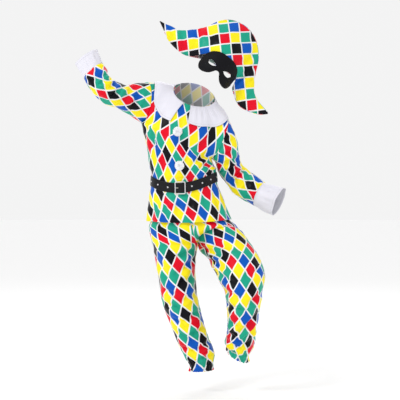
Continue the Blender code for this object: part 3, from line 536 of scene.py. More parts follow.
HAT_CREASES = (
    Crease(-1, -96, 262, -66, 206, 4, 8, 3.2),
    Crease(-1, -46, 246, -30, 172, -4, 9, 3.4),
    Crease(-1, 16, 250, 4, 168, 6, 10, 3.0),
    Crease(-1, 70, 268, 52, 190, 6, 12, 2.4),
    Crease(-1, 232, 180, 176, 112, 8, 10, 3.6),
    Crease(-1, 236, 130, 160, 60, 8, 9, 3.6),
    Crease(-1, 224, 70, 164, 22, -6, 8, 3.2),
    Crease(-1, 222, 20, 178, -26, 5, 8, 3.0),
    Crease(1, -90, 260, -62, 200, 4, 8, 3.2),
    Crease(1, 10, 250, 0, 170, 6, 11, 3.2),
    Crease(1, 120, 286, 90, 200, -8, 14, 2.6),
    Crease(1, 232, 170, 176, 100, 8, 10, 3.6),
    Crease(1, 226, 80, 160, 30, -6, 8, 3.4),
)
CUFF_CREASES = (
    Crease(-1, -346, 120, -362, 150, 2, 5, 1.8),
    Crease(-1, -376, 96, -398, 128, -2, 5, 2.0),
    Crease(-1, 262, -346, 300, -358, 2, 5, 2.0),
    Crease(-1, 246, -376, 288, -396, -2, 5, 1.8),
    Crease(1, -360, 112, -380, 142, 2, 5, 2.0),
    Crease(1, 256, -356, 300, -376, 2, 5, 2.0),
)

# The printed diamonds: where one corner lies on the cloth and the two sides that leave it, in millimetres,
# then the row and column of the repeat there. The repeat is listed, each row one diamond on from the
# last.
Print = namedtuple("Print", "across down side_a_across side_a_down side_b_across side_b_down row column")
Zone = namedtuple("Zone", "from_down layout")
DYES = {"R": "red", "Y": "yellow", "B": "blue", "G": "green", "K": "black"}
REPEAT = ("YGBR", "RYGK", "KBYG")
FRONT_ZONES = (
    Zone(0, Print(20, 225, 20, 38, -22, 34, 1, 3)),
    Zone(330, Print(-35, 400, 24, 36, -22, 34, 1, 1)),
)
BACK_ZONES = (
    Zone(0, Print(0, 0, 22, 38, -22, 38, 0, 0)),
    Zone(330, Print(10, 0, 22, 38, -22, 38, 1, 2)),
)
RIGHT_SLEEVE_ZONES = (Zone(0, Print(-15, 160, 21, 33, -23, 32, 2, 2)),)
LEFT_SLEEVE_ZONES = (Zone(0, Print(10, 155, 23, 36, -20, 37, 0, 0)),)
RIGHT_LEG_ZONES = (Zone(0, Print(25, 410, 29, 31, -20, 42, 0, 0)),)
LEFT_LEG_ZONES = (Zone(0, Print(-15, 515, 23, 35, -23, 39, 0, 1)),)
LEG_BAND_ZONES = (Zone(0, Print(0, 0, 25, 40, -25, 40, 0, 0)),)
HAT_ZONES = (Zone(-400, Print(140, -150, 39, -5, 4, 42, 0, 3)),)
HAT_BACK_ZONES = (Zone(-400, Print(140, -150, 39, 5, -4, 42, 1, 0)),)

# Finishes: the outside and the inside of each cloth
PRINTED = ("printed_satin", "printed_reverse")
HAT_PRINTED = ("hat_print", "hat_print_reverse")
PLAIN_WHITE = ("plain_white_satin", "plain_white_reverse")
WHITE = (0.83, 0.82, 0.9, 1)
# The inner side's white is a darker copy of the outer white: painted shade on the inside of the cuffs and
# collar.
WHITE_INSIDE = (0.72, 0.72, 0.78, 1)
MASK_BLACK = (0.003, 0.003, 0.005, 1)
SATIN_ROUGHNESS = (0.3, 0.46)
REVERSE_ROUGHNESS = (0.5, 0.7)
MASK_ROUGHNESS = (0.5, 0.65)
HALF_LINE = 0.062
HAT_HALF_LINE = 0.054
LINE_WIDTH = 0.005

# Studio, in metres
FLOOR_LEVEL = -1.11
FLOOR_RINGS = (0.4, 2, 8, 40)
FLOOR_SIDES = 64
CAMERA_PLACE = (0.0225, -4.5, -0.386)
CAMERA_LENS = 108
CAMERA_SENSOR = 36
LIGHTS_AIM = (0, 0, -0.4)
SOFT_LIGHTS = (
    ("key", (-2.8, -3.4, 3.0), 1.4, 78),
    ("fill", (3.6, -3.6, 0.6), 3.0, 4),
    ("back", (0.5, 3.5, 2.6), 3.0, 30),
)


# Shapes, as in the part's source

def smooth(table, places):
    """Rows of a table at places counted in rows, on a smooth curve through them."""
    rows = np.array(table, float)
    last = len(rows) - 1
    found = []
    for place in np.atleast_1d(places):
        low = int(min(max(place, 0), last - 1))
        t = place - low
        here, there = rows[low], rows[low + 1]
        before = rows[low - 1] if low > 0 else 2 * here - there
        after = rows[low + 2] if low + 2 <= last else 2 * there - here
        leave, arrive = (there - before) / 2, (after - here) / 2
        found.append(
            here * (2 * t**3 - 3 * t**2 + 1)
            + leave * (t**3 - 2 * t**2 + t)
            + there * (3 * t**2 - 2 * t**3)
            + arrive * (t**3 - t**2)
        )
    return np.array(found)


def unit(vectors):
    lengths = np.linalg.norm(vectors, axis=-1, keepdims=True)
    return vectors / np.maximum(lengths, 1e-9)


def fold_depth(folds, place, angle):
    """How far the folds move the cloth out at a place and an angle in degrees."""
    total = 0.0
    for fold in folds:
        if not fold.start < place <= max(fold.end, fold.start):
            continue
        run = (place - fold.start) / (fold.end - fold.start)
        full_at_hem = fold.end >= 8
        strength = math.sin(math.pi / 2 * run) if full_at_hem else math.sin(math.pi * run)
        off = (angle - fold.angle + 180) % 360 - 180
        total += fold.depth * strength * math.exp(-((off / fold.width) ** 2))
    return total


def ring_points(table, place, angles, folds=()):
    """Points of a level ring: angle 0 is its a edge, 90 the front, 180 its b edge, 270 the back."""
    row = Ring(*smooth(table, place)[0])
    a = np.array((row.a_x, 0, row.a_z))
    b = np.array((row.b_x, 0, row.b_z))
    centre, half = (a + b) / 2, (b - a) / 2
    points = []
    for angle in angles:
        c, s = math.cos(math.radians(angle)), math.sin(math.radians(angle))
        drop = row.front_drop * (-s * s if s > 0 else 0.4 * s * s)
        point = centre - half * c + np.array((row.front_shift * s, -row.half_depth * s, drop))
        out = unit(np.array((point[0] - centre[0], point[1], 0.0)))
        points.append(point + out * fold_depth(folds, place, angle))
    return np.array(points)


def tube_points(table, place, angles, folds=()):
    """Points of a section of a tube, square to its run. Angles are as in ring_points."""
    row = Tube(*smooth(table, place)[0])
    step = 0.05 if place + 0.05 <= len(table) - 1 else -0.05
    near = Tube(*smooth(table, place + step)[0])
    a = np.array((row.a_x, row.y, row.a_z))
    b = np.array((row.b_x, row.y, row.b_z))
    centre, half = (a + b) / 2, (b - a) / 2
    run = np.array(((near.a_x + near.b_x) / 2, near.y, (near.a_z + near.b_z) / 2)) - centre
    front = unit(np.cross(run, half)) * row.half_depth
    if front[1] > 0:
        front = -front
    points = []
    for angle in angles:
        c, s = math.cos(math.radians(angle)), math.sin(math.radians(angle))
        spoke = front * s - half * c
        points.append(centre + spoke + unit(spoke) * fold_depth(folds, place, angle))
    return np.array(points)


def neck_points(angles):
    centre, half = (NECK_A + NECK_B) / 2, (NECK_B - NECK_A) / 2
    turns = np.radians(angles)[:, None]
    return centre - half * np.cos(turns) + NECK_FRONT * np.sin(turns)


def between(start, end, steps):
    """Points from start to end, without the end."""
    share = np.arange(steps)[:, None] / steps
    return start + (end - start) * share


def patch(low, high, side_0, side_1):
    """A sheet ruled from low to high, its two ends bowed out to the sides."""
    u = np.linspace(0, 1, len(low))[None, :, None]
    v = np.linspace(0, 1, len(side_0))[:, None, None]
    ruled = (1 - v) * low[None] + v * high[None]
    bow_0 = side_0[:, None] - ruled[:, :1]
    bow_1 = side_1[:, None] - ruled[:, -1:]
    return ruled + bow_0 * (1 - u) ** 3 + bow_1 * u**3


def cell_normals(grid):
    """A vector across each cell, as long as twice its area."""
    return np.cross(grid[1:, 1:] - grid[:-1, :-1], grid[:-1, 1:] - grid[1:, :-1])


def points_out(grid, centre):
    """Whether the cell normals look away from the centres."""
    middle = (grid[1:, 1:] + grid[:-1, :-1]) / 2
    middle_centre = (centre[1:, 1:] + centre[:-1, :-1]) / 2
    return (cell_normals(grid) * (middle - middle_centre)).sum() > 0


def outward_normals(grids, centres):
    """Normals at each grid's points, shared where grids meet, so that walls meet in a mitre."""
    total = {}
    keys = [np.round(grid / 0.01).astype(int) for grid in grids]
    for grid, centre, key in zip(grids, centres, keys):
        faces = cell_normals(grid)
        if not points_out(grid, centre):
            faces = -faces
        for row, col in np.ndindex(faces.shape[:2]):
            for corner in ((row, col), (row + 1, col), (row, col + 1), (row + 1, col + 1)):
                spot = tuple(key[corner])
                total[spot] = total.get(spot, 0) + faces[row, col]
    return [unit(np.array([[total[tuple(spot)] for spot in row] for row in key])) for key in keys]


def row_centres(grid):
    return np.broadcast_to(grid.mean(axis=1, keepdims=True), grid.shape)


def surface_tree(grids):
    """The garment's outer surface, to lay the collar on."""
    points, faces = [], []
    for grid in grids:
        start = len(points)
        columns = grid.shape[1]
        facing_out = points_out(grid, row_centres(grid))
        points.extend(Vector(point) for point in grid.reshape(-1, 3))
        for row, col in np.ndindex(grid.shape[0] - 1, columns - 1):
            corner = start + row * columns + col
            face = (corner, corner + columns, corner + columns + 1, corner + 1)
            faces.append(face if facing_out else face[::-1])
    return BVHTree.FromPolygons(points, faces)


def laid_on(tree, point, lift):
    """The nearest place on the surface, moved out by lift, and the way out there."""
    spot, normal = tree.find_nearest(Vector(point))[:2]
    return np.array(spot + normal * lift), np.array(normal)


def raised_clear(tree, grid):
    """Raises a laid sheet softly until its inner side is clear of the surface everywhere."""
    centres = np.broadcast_to(COLLAR_MIDDLE, grid.shape)
    for _ in range(CLEARING_ROUNDS):
        normals = outward_normals([grid], [centres])[0]
        sheet = surface_tree([grid - normals * (CLOTH_WALL + COLLAR_CLEARANCE)])
        touching = {cell for cell, _ in sheet.overlap(tree)}
        if not touching:
            break
        raise_by = np.zeros(grid.shape[:2])
        for cell in touching:
            row, col = divmod(cell, grid.shape[1] - 1)
            raise_by[row : row + 2, col : col + 2] = CLEARING_STEP
        padded = np.pad(raise_by, 1, mode="edge")
        beside = (padded[:-2, 1:-1] + padded[2:, 1:-1] + padded[1:-1, :-2] + padded[1:-1, 2:]) / 4
        grid = grid + normals * np.maximum(raise_by, beside)[..., None]
    return grid, outward_normals([grid], [centres])[0]


def belt_track():
    """Finely spaced angles round the belt and the distance along its middle at each, from the buckle."""
    angles = np.linspace(90, 450, 721)
    high, low = (ring_points(TUNIC_RINGS, place, angles) for place in BELT_RINGS)
    points = (high + low) / 2
    steps = np.linalg.norm(np.diff(points, axis=0), axis=1)
    return angles, np.concatenate([[0], np.cumsum(steps)])


def belt_point(track, distance, share, lift):
    """A point on the belt: share 0 is its lower edge and 1 its upper edge."""
    angles, lengths = track
    angle = np.interp(distance % lengths[-1], lengths, angles)
    high, low = (ring_points(TUNIC_RINGS, place, (angle - 1, angle, angle + 1)) for place in BELT_RINGS)
    lower_edge, upper_edge = BELT_EDGES
    point = low[1] + (high[1] - low[1]) * (lower_edge + (upper_edge - lower_edge) * share)
    out = unit(np.cross(high[2] - high[0] + low[2] - low[0], high[1] - low[1]))
    return point + out * lift, out


def belt_lift(track, distance):
    """Height of the strap's middle over the tunic at a distance that runs on past one turn."""
    girth = track[1][-1]
    places, lifts = zip(*BELT_CLIMB)
    return float(np.interp(distance - girth, places, lifts))


def on_head(along, up, lift):
    """A point on the oval head, along it from the line between the eyes, in the head's tilt."""
    angle = along / HEAD_HALF_WIDTH + HEAD_TURN
    x = (HEAD_HALF_WIDTH + lift) * math.sin(angle)
    y = -(HEAD_HALF_DEPTH + lift) * math.cos(angle) + up * up / BROW_SLOPE
    return head_frame(x, y, up)


def head_frame(x, y, up):
    """From the head's own axes to the costume's."""
    right = np.array((math.cos(HEAD_ROLL), 0, -math.sin(HEAD_ROLL)))
    top = np.array((math.sin(HEAD_ROLL), 0, math.cos(HEAD_ROLL)))
    return HEAD_CENTRE + right * x + np.array((0, y, 0)) + top * up


def waistband_grid(angles, places=WAISTBAND_PLACES):
    """The trousers' waistband just inside the tunic under the belt, and the way out at its points."""
    rings = np.array([ring_points(TUNIC_RINGS, place, angles) for place in places])
    axis = np.array([ring_points(TUNIC_RINGS, place, (0, 180)).mean(axis=0) for place in places])
    way_out = rings - axis[:, None]
    way_out[..., 2] = 0
    way_out = unit(way_out)
    return rings - way_out * (CLOTH_WALL + UNDER_BELT_GAP), way_out


# Cloth

def crease_depths(points, normals, creases):
    """How far the creases push each point in, with a low ridge on each side of a trough."""
    depths = np.zeros(len(points))
    t = np.linspace(0, 1, CREASE_STEPS + 1)[:, None]
    for number, crease in enumerate(creases):
        start = np.array((crease.x_0, crease.z_0), float)
        end = np.array((crease.x_1, crease.z_1), float)
        side = unit(np.array((start[1] - end[1], end[0] - start[0])))
        bend = (start + end) / 2 + side * crease.bow
        line = (1 - t) ** 2 * start + 2 * t * (1 - t) * bend + t**2 * end
        gaps = np.linalg.norm(points[:, None, [0, 2]] - line[None], axis=2)
        nearest = gaps.argmin(axis=1)
        gap = gaps.min(axis=1) / crease.width
        run = np.sin(np.pi * np.clip(nearest / CREASE_STEPS, 0.02, 0.98)) ** 0.6
        facing = np.clip(crease.side * normals[:, 1] * 2.2 + 0.35, 0, 1)
        swing = 1 + CREASE_SWING * np.sin(nearest * 0.9 + number)
        trough = np.exp(-(gap**2)) - RIDGE_HEIGHT * np.exp(-(((gap - RIDGE_AT) / RIDGE_WIDTH) ** 2))
        depths += crease.depth * run * facing * swing * trough
    return depths


def crumpled(grid, normals, creases, calm):
    """Moves a cloth grid by its creases and a slight unevenness. calm is 0 where the cloth lies still."""
    strength = bpy.context.scene.harlequin_costume.crease_strength
    points = grid.reshape(-1, 3)
    ways = normals.reshape(-1, 3)
    depths = crease_depths(points, ways, creases)
    uneven = np.array([noise.fractal(Vector(point) * UNEVEN_SCALE, 0.9, 2.1, 3) for point in points])
    moved = strength * (uneven * UNEVEN_DEPTH - depths) * calm.reshape(-1)
    return grid + (ways * moved[:, None]).reshape(grid.shape)


def seam_calm(across, down, seams, reach=14):
    """Rises from 0 at the named edges of a cloth to 1 further in, so that sewn edges stay together."""
    gaps = {
        "left": across - across[:, :1],
        "right": across[:, -1:] - across,
        "top": down - down[:1],
        "bottom": down[-1:] - down,
    }
    calm = np.ones(across.shape)
    for seam in seams.split():
        calm = np.minimum(calm, np.clip(np.abs(gaps[seam]) / reach, 0, 1))
    return calm * calm * (3 - 2 * calm)


def cloth_coordinates(grid, middle):
    """How far each point lies across and down its flat cloth, from the middle column and the first row."""
    across = np.zeros(grid.shape[:2])
    across[:, 1:] = np.cumsum(np.linalg.norm(np.diff(grid, axis=1), axis=2), axis=1)
    across -= across[:, [middle]]
    down = np.zeros(len(grid))
    down[1:] = np.cumsum(np.linalg.norm(np.diff(grid[:, middle], axis=0), axis=1))
    return across, np.broadcast_to(down[:, None], across.shape).copy()


def sheet_area(grid):
    """The area of a grid in square metres."""
    return float(np.linalg.norm(cell_normals(grid), axis=2).sum()) / 2 * MM * MM


def dye_of(layout, a, b):
    """The colour of a diamond, counted from the zone's corner along its two sides."""
    row = REPEAT[(b + layout.row) % len(REPEAT)]
    return DYES[row[(a - b + layout.column) % len(row)]]


def lattice_place(across, down, layout):
    """Where a point of the cloth lies in the lattice of diamonds, counted in diamonds along each side."""
    determinant = layout.side_a_across * layout.side_b_down - layout.side_b_across * layout.side_a_down
    x, y = across - layout.across, down - layout.down
    along_a = (x * layout.side_b_down - y * layout.side_b_across) / determinant
    along_b = (y * layout.side_a_across - x * layout.side_a_down) / determinant
    return along_a, along_b


def cut_along_diamonds(shape, layout, faces):
    """Cuts these faces of a flat mesh along the lines between diamonds."""
    verts = {vertex for face in faces for vertex in face.verts}
    geometry = faces + list({edge for face in faces for edge in face.edges}) + list(verts)
    corners = np.array([vertex.co[:2] for vertex in verts]) / MM
    places = lattice_place(corners[:, 0], corners[:, 1], layout)
    side_a = (layout.side_a_across, layout.side_a_down)
    side_b = (layout.side_b_across, layout.side_b_down)
    for place, step, side in zip(places, (side_a, side_b), (side_b, side_a)):
        for line in range(math.ceil(place.min()), math.floor(place.max()) + 1):
            spot = Vector((layout.across + step[0] * line, layout.down + step[1] * line, 0)) * MM
            geometry = bmesh.ops.bisect_plane(
                shape,
                geom=geometry,
                dist=1e-6,
                plane_co=spot,
                plane_no=Vector((side[1], -side[0], 0)).normalized(),
            )["geom"]


def add_cloth(name, node, grid, normals, flat, finish, zones=(), hems=None, wall=CLOTH_WALL, holes=()):
    """A walled sheet of cloth from its grid. flat holds how far each point lies across and down, hems how far
    from a stitched edge."""
    materials = finish_of(*finish)
    across, down = (np.array(part, float) for part in flat)
    zone_of_row = np.array([sum(height >= zone.from_down for zone in zones) - 1 for height in down[:, 0]])
    shape = bmesh.new()
    spot = shape.verts.layers.float_vector.new("spot")
    away = shape.verts.layers.float_vector.new("away")
    hem = shape.verts.layers.float.new("hem")
    zone_layer = shape.faces.layers.int.new("zone")
    rows, columns = across.shape
    hem_gaps = (np.full(across.shape, BEYOND_HEMS) if hems is None else hems) * MM
    corners = []
    for row, column in np.ndindex(rows, columns):
        vertex = shape.verts.new((across[row, column] * MM, down[row, column] * MM, 0))
        vertex[spot] = Vector(grid[row, column] * MM)
        vertex[away] = Vector(normals[row, column])
        vertex[hem] = hem_gaps[row, column]
        corners.append(vertex)
    for row, column in np.ndindex(rows - 1, columns - 1):
        if (row, column) in holes:
            continue
        first = row * columns + column
        cell = (corners[first], corners[first + 1], corners[first + columns + 1], corners[first + columns])
        shape.faces.new(cell)[zone_layer] = zone_of_row[row]
    for number, zone in enumerate(zones):
        cut_along_diamonds(shape, zone.layout, [face for face in shape.faces if face[zone_layer] == number])
    paint_cloth(shape, hem, zone_layer, zones)
    for vertex in shape.verts:
        vertex.co = vertex[spot]
    shape.normal_update()
    if sum(face.normal.dot(face.verts[0][away]) * face.calc_area() for face in shape.faces) < 0:
        bmesh.ops.reverse_faces(shape, faces=shape.faces[:])
    bmesh.ops.remove_doubles(shape, verts=shape.verts[:], dist=1e-6)
    obj = finished(name, shape, materials)
    wall_in = obj.modifiers.new("wall", "SOLIDIFY")
    wall_in.thickness = wall * MM
    wall_in.offset = -1
    wall_in.material_offset = 1 if len(materials) > 1 else 0
    return placed(obj, node)


def paint_cloth(shape, hem, zone_layer, zones):
    """Gives the cloth, while it lies flat, its maps and the dye of each diamond."""
    cloth_map = shape.loops.layers.uv.new("cloth")
    lattice_map = shape.loops.layers.uv.new("lattice")
    hem_map = shape.loops.layers.uv.new("hem")
    dye_and_root_shade = shape.loops.layers.float_color.new("dye_and_root_shade")
    settings = bpy.context.scene.harlequin_costume
    for face in shape.faces:
        face.smooth = True
        colour = (1.0, 1.0, 1.0, 1.0)
        centre = face.calc_center_median() / MM
        zone = zones[face[zone_layer]] if zones else None
        if zone is not None:
            a, b = lattice_place(centre.x, centre.y, zone.layout)
            colour = (*getattr(settings, dye_of(zone.layout, math.floor(a), math.floor(b))), 1.0)
        for loop in face.loops:
            place = loop.vert.co
            loop[cloth_map].uv = place[:2]
            loop[hem_map].uv = (place[0] + place[1], loop.vert[hem])
            loop[dye_and_root_shade] = colour
            if zone is not None:
                loop[lattice_map].uv = lattice_place(place[0] / MM, place[1] / MM, zone.layout)


def finished(name, shape, materials):
    """Turns a finished bmesh into an object of the scene."""
    mesh = bpy.data.meshes.new(name)
    shape.normal_update()
    shape.to_mesh(mesh)
    shape.free()
    for material in materials:
        mesh.materials.append(material)
    obj = bpy.data.objects.new(name, mesh)
    bpy.context.scene.collection.objects.link(obj)
    return obj


def placed(obj, *nodes):
    """Puts a piece in the place of its nodes of the frame, which it hides, and fixes it to the root body."""
    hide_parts(*nodes)
    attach(obj, "root")
    return obj


def lay(node, grid, cloth, normals, flat, finish, held, rests_on=(), with_pieces=(), **more):
    """Adds a node's cloth and works out its flat cut, in metres: its lengths laid flat and its grid's area.
    """
    obj = add_cloth(f"{node}_cloth", node, cloth, normals, flat, finish, **more)
    across, down = flat
    width = float(across.max() - across.min()) * MM
    length = float(down.max() - down.min()) * MM
    area = min(sheet_area(grid), width * length)
    area = max(area, LEAST_AREA_SHARE * width * length)


# Fine grids

def finer(places, steps):
    """A table's places with more of them between."""
    return np.interp(np.arange((len(places) - 1) * steps + 1) / steps, np.arange(len(places)), places)


def refined(grid, row_steps, column_steps):
    """The same sheet with more rows and columns, on smooth curves through its own."""
    for steps in (row_steps, column_steps):
        count = len(grid)
        flat = smooth(grid.reshape(count, -1), np.linspace(0, count - 1, (count - 1) * steps + 1))
        grid = flat.reshape(len(flat), -1, 3).swapaxes(0, 1)
    return grid


def tunic_grids():
    """Front and back, each from the shoulders and neck down to the hem."""
    grids = []
    places = finer(TUNIC_PLACES, TUNIC_STEPS)
    for start, columns, sign in ((0, FRONT_COLUMNS, -1), (180, BACK_COLUMNS, 1)):
        angles = start + np.linspace(0, 180, columns + 1)
        rings = [ring_points(TUNIC_RINGS, place, angles, TUNIC_FOLDS) for place in places]
        sides = np.linspace(180, 0 if sign < 0 else 360, YOKE_ROWS + 1)
        right = tube_points(RIGHT_SLEEVE, 0, sides)
        left = tube_points(LEFT_SLEEVE, 0, sides)
        first, last = (right, left) if sign < 0 else (left, right)
        neck = neck_points(start + np.linspace(0, 180, columns - 2 * SHOULDER_COLUMNS + 1))
        top = np.concatenate([
            between(first[-1], neck[0], SHOULDER_COLUMNS),
            neck[:-1],
            between(neck[-1], last[-1], SHOULDER_COLUMNS),
            last[-1:],
        ])
        yoke = patch(rings[0], top, first, last)
        u = np.sin(np.linspace(0, math.pi, columns + 1))[None]
        v = np.sin(np.linspace(0, math.pi, YOKE_ROWS + 1))[:, None]
        yoke[..., 1] += sign * (CHEST_BULGE if sign < 0 else BACK_BULGE) * u * v
        grids.append(np.concatenate([yoke[::-1], np.array(rings[1:])]))
    return grids


def tube_grid(table, places, columns, folds=()):
    """A closed tube from its table, with a row for each place."""
    angles = np.linspace(0, 360, columns + 1)
    return np.array([tube_points(table, place, angles, folds) for place in places])


def leg_grid(leg, is_right, folds):
    """A trouser leg: an open sheet down to the crotch, then a tube. Column 0 is the centre front."""
    half = np.linspace(90, -90, LEG_COLUMNS + 1) if is_right else np.linspace(90, 270, LEG_COLUMNS + 1)
    whole = np.linspace(180, -180, LEG_COLUMNS + 1) if is_right else np.linspace(0, 360, LEG_COLUMNS + 1)
    top = waistband_grid(half)[0][-1]
    moved = top - ring_points(TROUSER_RINGS, 0, half)
    hips = np.linspace(0, 3, HIP_ROWS + 1)
    rows = [ring_points(TROUSER_RINGS, place, half) + moved * max(0, 1 - place) for place in hips]
    low = rows[-1]
    places = finer(LEG_PLACES, LEG_STEPS)
    tube = [tube_points(leg, place, whole, folds) for place in places]
    tube[0][[0, -1]] = CROTCH
    u = np.linspace(0, 1, LEG_COLUMNS + 1)[:, None]
    for step in np.arange(1, CROTCH_ROWS) / CROTCH_ROWS:
        down, back = math.sin(math.pi / 2 * step), 1 - math.cos(math.pi / 2 * step)
        row = low + (tube[0] - low) * step
        for column, weight in ((0, (1 - u) ** 3), (-1, u**3)):
            edge = low[column] + (CROTCH - low[column]) * np.array((step, back, down))
            row = row + (edge - (low[column] + (CROTCH - low[column]) * step)) * weight
        rows.append(row)
    return np.array(rows + tube), len(rows), places


def pleated(grid, depths, count, seed):
    """Gathers a tube's rows into uneven pleats of the given depth in each row."""
    turn = np.linspace(0, 2 * math.pi, grid.shape[1])
    small = 0.35 * np.cos(round(count * 1.6) * turn + seed)
    wave = np.cos(count * turn + 0.9 * np.sin(3 * turn + seed)) + small
    uneven = 0.75 + 0.35 * np.sin(5 * turn + seed * 2)
    out = unit(grid - grid.mean(axis=1, keepdims=True))
    return grid + out * (wave * uneven)[None, :, None] * np.asarray(depths)[:, None, None]


def collar_grid(stations, tree):
    """A collar half spread over the yoke, from the neck seam to its outer edge."""
    table = smooth(stations, np.linspace(0, len(stations) - 1, COLLAR_COLUMNS + 1))
    necks = neck_points(table[:, 0])
    grid = np.empty((COLLAR_ROWS + 1, COLLAR_COLUMNS + 1, 3))
    for col in range(COLLAR_COLUMNS + 1):
        edge = laid_on(tree, table[col, 1:], CLOTH_WALL + COLLAR_LIFT)[0]
        neck, way_out = laid_on(tree, necks[col] + (edge - necks[col]) * NECK_INSET, CLOTH_WALL + COLLAR_LIFT)
        up = unit(way_out + laid_on(tree, edge, 0)[1])
        for row in range(COLLAR_ROWS + 1):
            share = row / COLLAR_ROWS
            grid[row, col] = neck + (edge - neck) * share + up * COLLAR_SWELL * math.sin(math.pi * share)
    return raised_clear(tree, grid)[0]


def garment():
    """The upper garment's smooth grids and normals, shared by the operators that dress it."""
    if not GRIDS:
        front, back = tunic_grids()
        places = finer(SLEEVE_PLACES, SLEEVE_STEPS)
        cuffs = finer(CUFF_PLACES, CUFF_STEPS)
        pieces = {
            "tunic_front": front,
            "tunic_back": back,
            "sleeve_right": tube_grid(RIGHT_SLEEVE, places, SLEEVE_COLUMNS, RIGHT_SLEEVE_FOLDS),
            "sleeve_left": tube_grid(LEFT_SLEEVE, places, SLEEVE_COLUMNS, LEFT_SLEEVE_FOLDS),
            "cuff_right": tube_grid(RIGHT_CUFF, cuffs, SLEEVE_COLUMNS),
            "cuff_left": tube_grid(LEFT_CUFF, cuffs, SLEEVE_COLUMNS),
        }
        pieces["cuff_right"][0] = pieces["sleeve_right"][-1]
        pieces["cuff_left"][0] = pieces["sleeve_left"][-1]
        grids = list(pieces.values())
        normals = outward_normals(grids, [row_centres(grid) for grid in grids])
        tree = surface_tree(grids[:4])
        GRIDS.update({name: (grid, normal) for name, grid, normal in zip(pieces, grids, normals)})
        for name, stations in (("collar_right", RIGHT_COLLAR), ("collar_left", LEFT_COLLAR)):
            grid = refined(collar_grid(stations, tree), COLLAR_ROW_STEPS, COLLAR_COLUMN_STEPS)
            centres = np.broadcast_to(COLLAR_MIDDLE, grid.shape)
            GRIDS[name] = (grid, outward_normals([grid], [centres])[0])
    return GRIDS


# Shader groups and materials

def add_node(tree, kind, inputs, **settings):
    """A shader node with its settings made and its inputs set or linked."""
    node = tree.nodes.new(kind)
    for name, value in settings.items():
        setattr(node, name, value)
    for name, value in inputs.items():
        if isinstance(value, bpy.types.NodeSocket):
            tree.links.new(value, node.inputs[name])
        else:
            node.inputs[name].default_value = value
    return node


def math_node(tree, operation, first, second=0.0, third=0.0):
    return add_node(tree, "ShaderNodeMath", {0: first, 1: second, 2: third}, operation=operation).outputs[0]


def ramp_node(tree, value, low, high, to_low=0.0, to_high=1.0):
    """A smooth step of a value between two limits."""
    inputs = {"Value": value, "From Min": low, "From Max": high, "To Min": to_low, "To Max": to_high}
    return add_node(tree, "ShaderNodeMapRange", inputs, interpolation_type="SMOOTHSTEP").outputs[0]


def mix_node(tree, factor, first, second, blend_type="MIX"):
    inputs = {0: factor, 6: first, 7: second}
    return add_node(tree, "ShaderNodeMix", inputs, data_type="RGBA", blend_type=blend_type).outputs[2]


def noise_node(tree, place, scale, detail=3.0, roughness=0.5):
    inputs = {"Vector": place, "Scale": scale, "Detail": detail, "Roughness": roughness}
    return add_node(tree, "ShaderNodeTexNoise", inputs).outputs[0]


def stretched(tree, place, x, y, z=1.0):
    return add_node(tree, "ShaderNodeMapping", {"Vector": place, "Scale": (x, y, z)}).outputs[0]


def shader_group(name, inputs, outputs):
    """A new shader group with its sockets: the group, what it is given and what it gives out."""
    tree = bpy.data.node_groups.new(name, "ShaderNodeTree")
    for label, kind, value in inputs:
        socket = tree.interface.new_socket(name=label, in_out="INPUT", socket_type=kind)
        if value is not None:
            socket.default_value = value
    for label, kind in outputs:
        tree.interface.new_socket(name=label, in_out="OUTPUT", socket_type=kind)
    return tree, tree.nodes.new("NodeGroupInput").outputs, tree.nodes.new("NodeGroupOutput").inputs


def diamond_print_group():
    """Diamonds of dyed cloth with a printed line between them, slightly uneven as prints are."""
    tree, given, out = shader_group(
        "diamond_print",
        (
            ("Place", "NodeSocketVector", None),
            ("Dye", "NodeSocketColor", (1, 1, 1, 1)),
            ("Line Colour", "NodeSocketColor", (1, 1, 1, 1)),
            ("Half Width", "NodeSocketFloat", 0.059),
        ),
        (("Colour", "NodeSocketColor"), ("Line", "NodeSocketFloat")),
    )
    wander = math_node(tree, "MULTIPLY_ADD", noise_node(tree, given["Place"], 9.0), 0.022, -0.011)
    split = add_node(tree, "ShaderNodeSeparateXYZ", {0: given["Place"]}).outputs
    near_a = math_node(tree, "PINGPONG", split[0], 0.5)
    near_b = math_node(tree, "PINGPONG", split[1], 0.5)
    gap = math_node(tree, "ADD", math_node(tree, "MINIMUM", near_a, near_b), wander)
    low = math_node(tree, "SUBTRACT", given["Half Width"], 0.012)
    high = math_node(tree, "ADD", given["Half Width"], 0.012)
    line = ramp_node(tree, gap, low, high, 1.0, 0.0)
    tree.links.new(mix_node(tree, line, given["Dye"], given["Line Colour"]), out["Colour"])
    tree.links.new(line, out["Line"])
    return tree


def satin_weave_group():
    """Fine satin threads: long floats down the cloth, and slubs that catch the light."""
    tree, given, out = shader_group(
        "satin_weave",
        (("Place", "NodeSocketVector", None), ("Thread", "NodeSocketFloat", 520.0)),
        (("Height", "NodeSocketFloat"), ("Tone", "NodeSocketFloat")),
    )
    threads = add_node(
        tree,
        "ShaderNodeTexWave",
        {"Vector": given["Place"], "Scale": given["Thread"], "Distortion": 1.2, "Detail": 1.0},
        bands_direction="X",
    ).outputs[1]
    slubs = noise_node(tree, stretched(tree, given["Place"], 900.0, 60.0), 1.0, 2.0)
    patches = noise_node(tree, given["Place"], 26.0, 3.0)
    height = math_node(tree, "MULTIPLY_ADD", slubs, 0.6, math_node(tree, "MULTIPLY", threads, 0.4))
    tone = math_node(tree, "MULTIPLY_ADD", slubs, 0.45, math_node(tree, "MULTIPLY", patches, 0.55))
    tree.links.new(height, out["Height"])
    tree.links.new(tone, out["Tone"])
    return tree


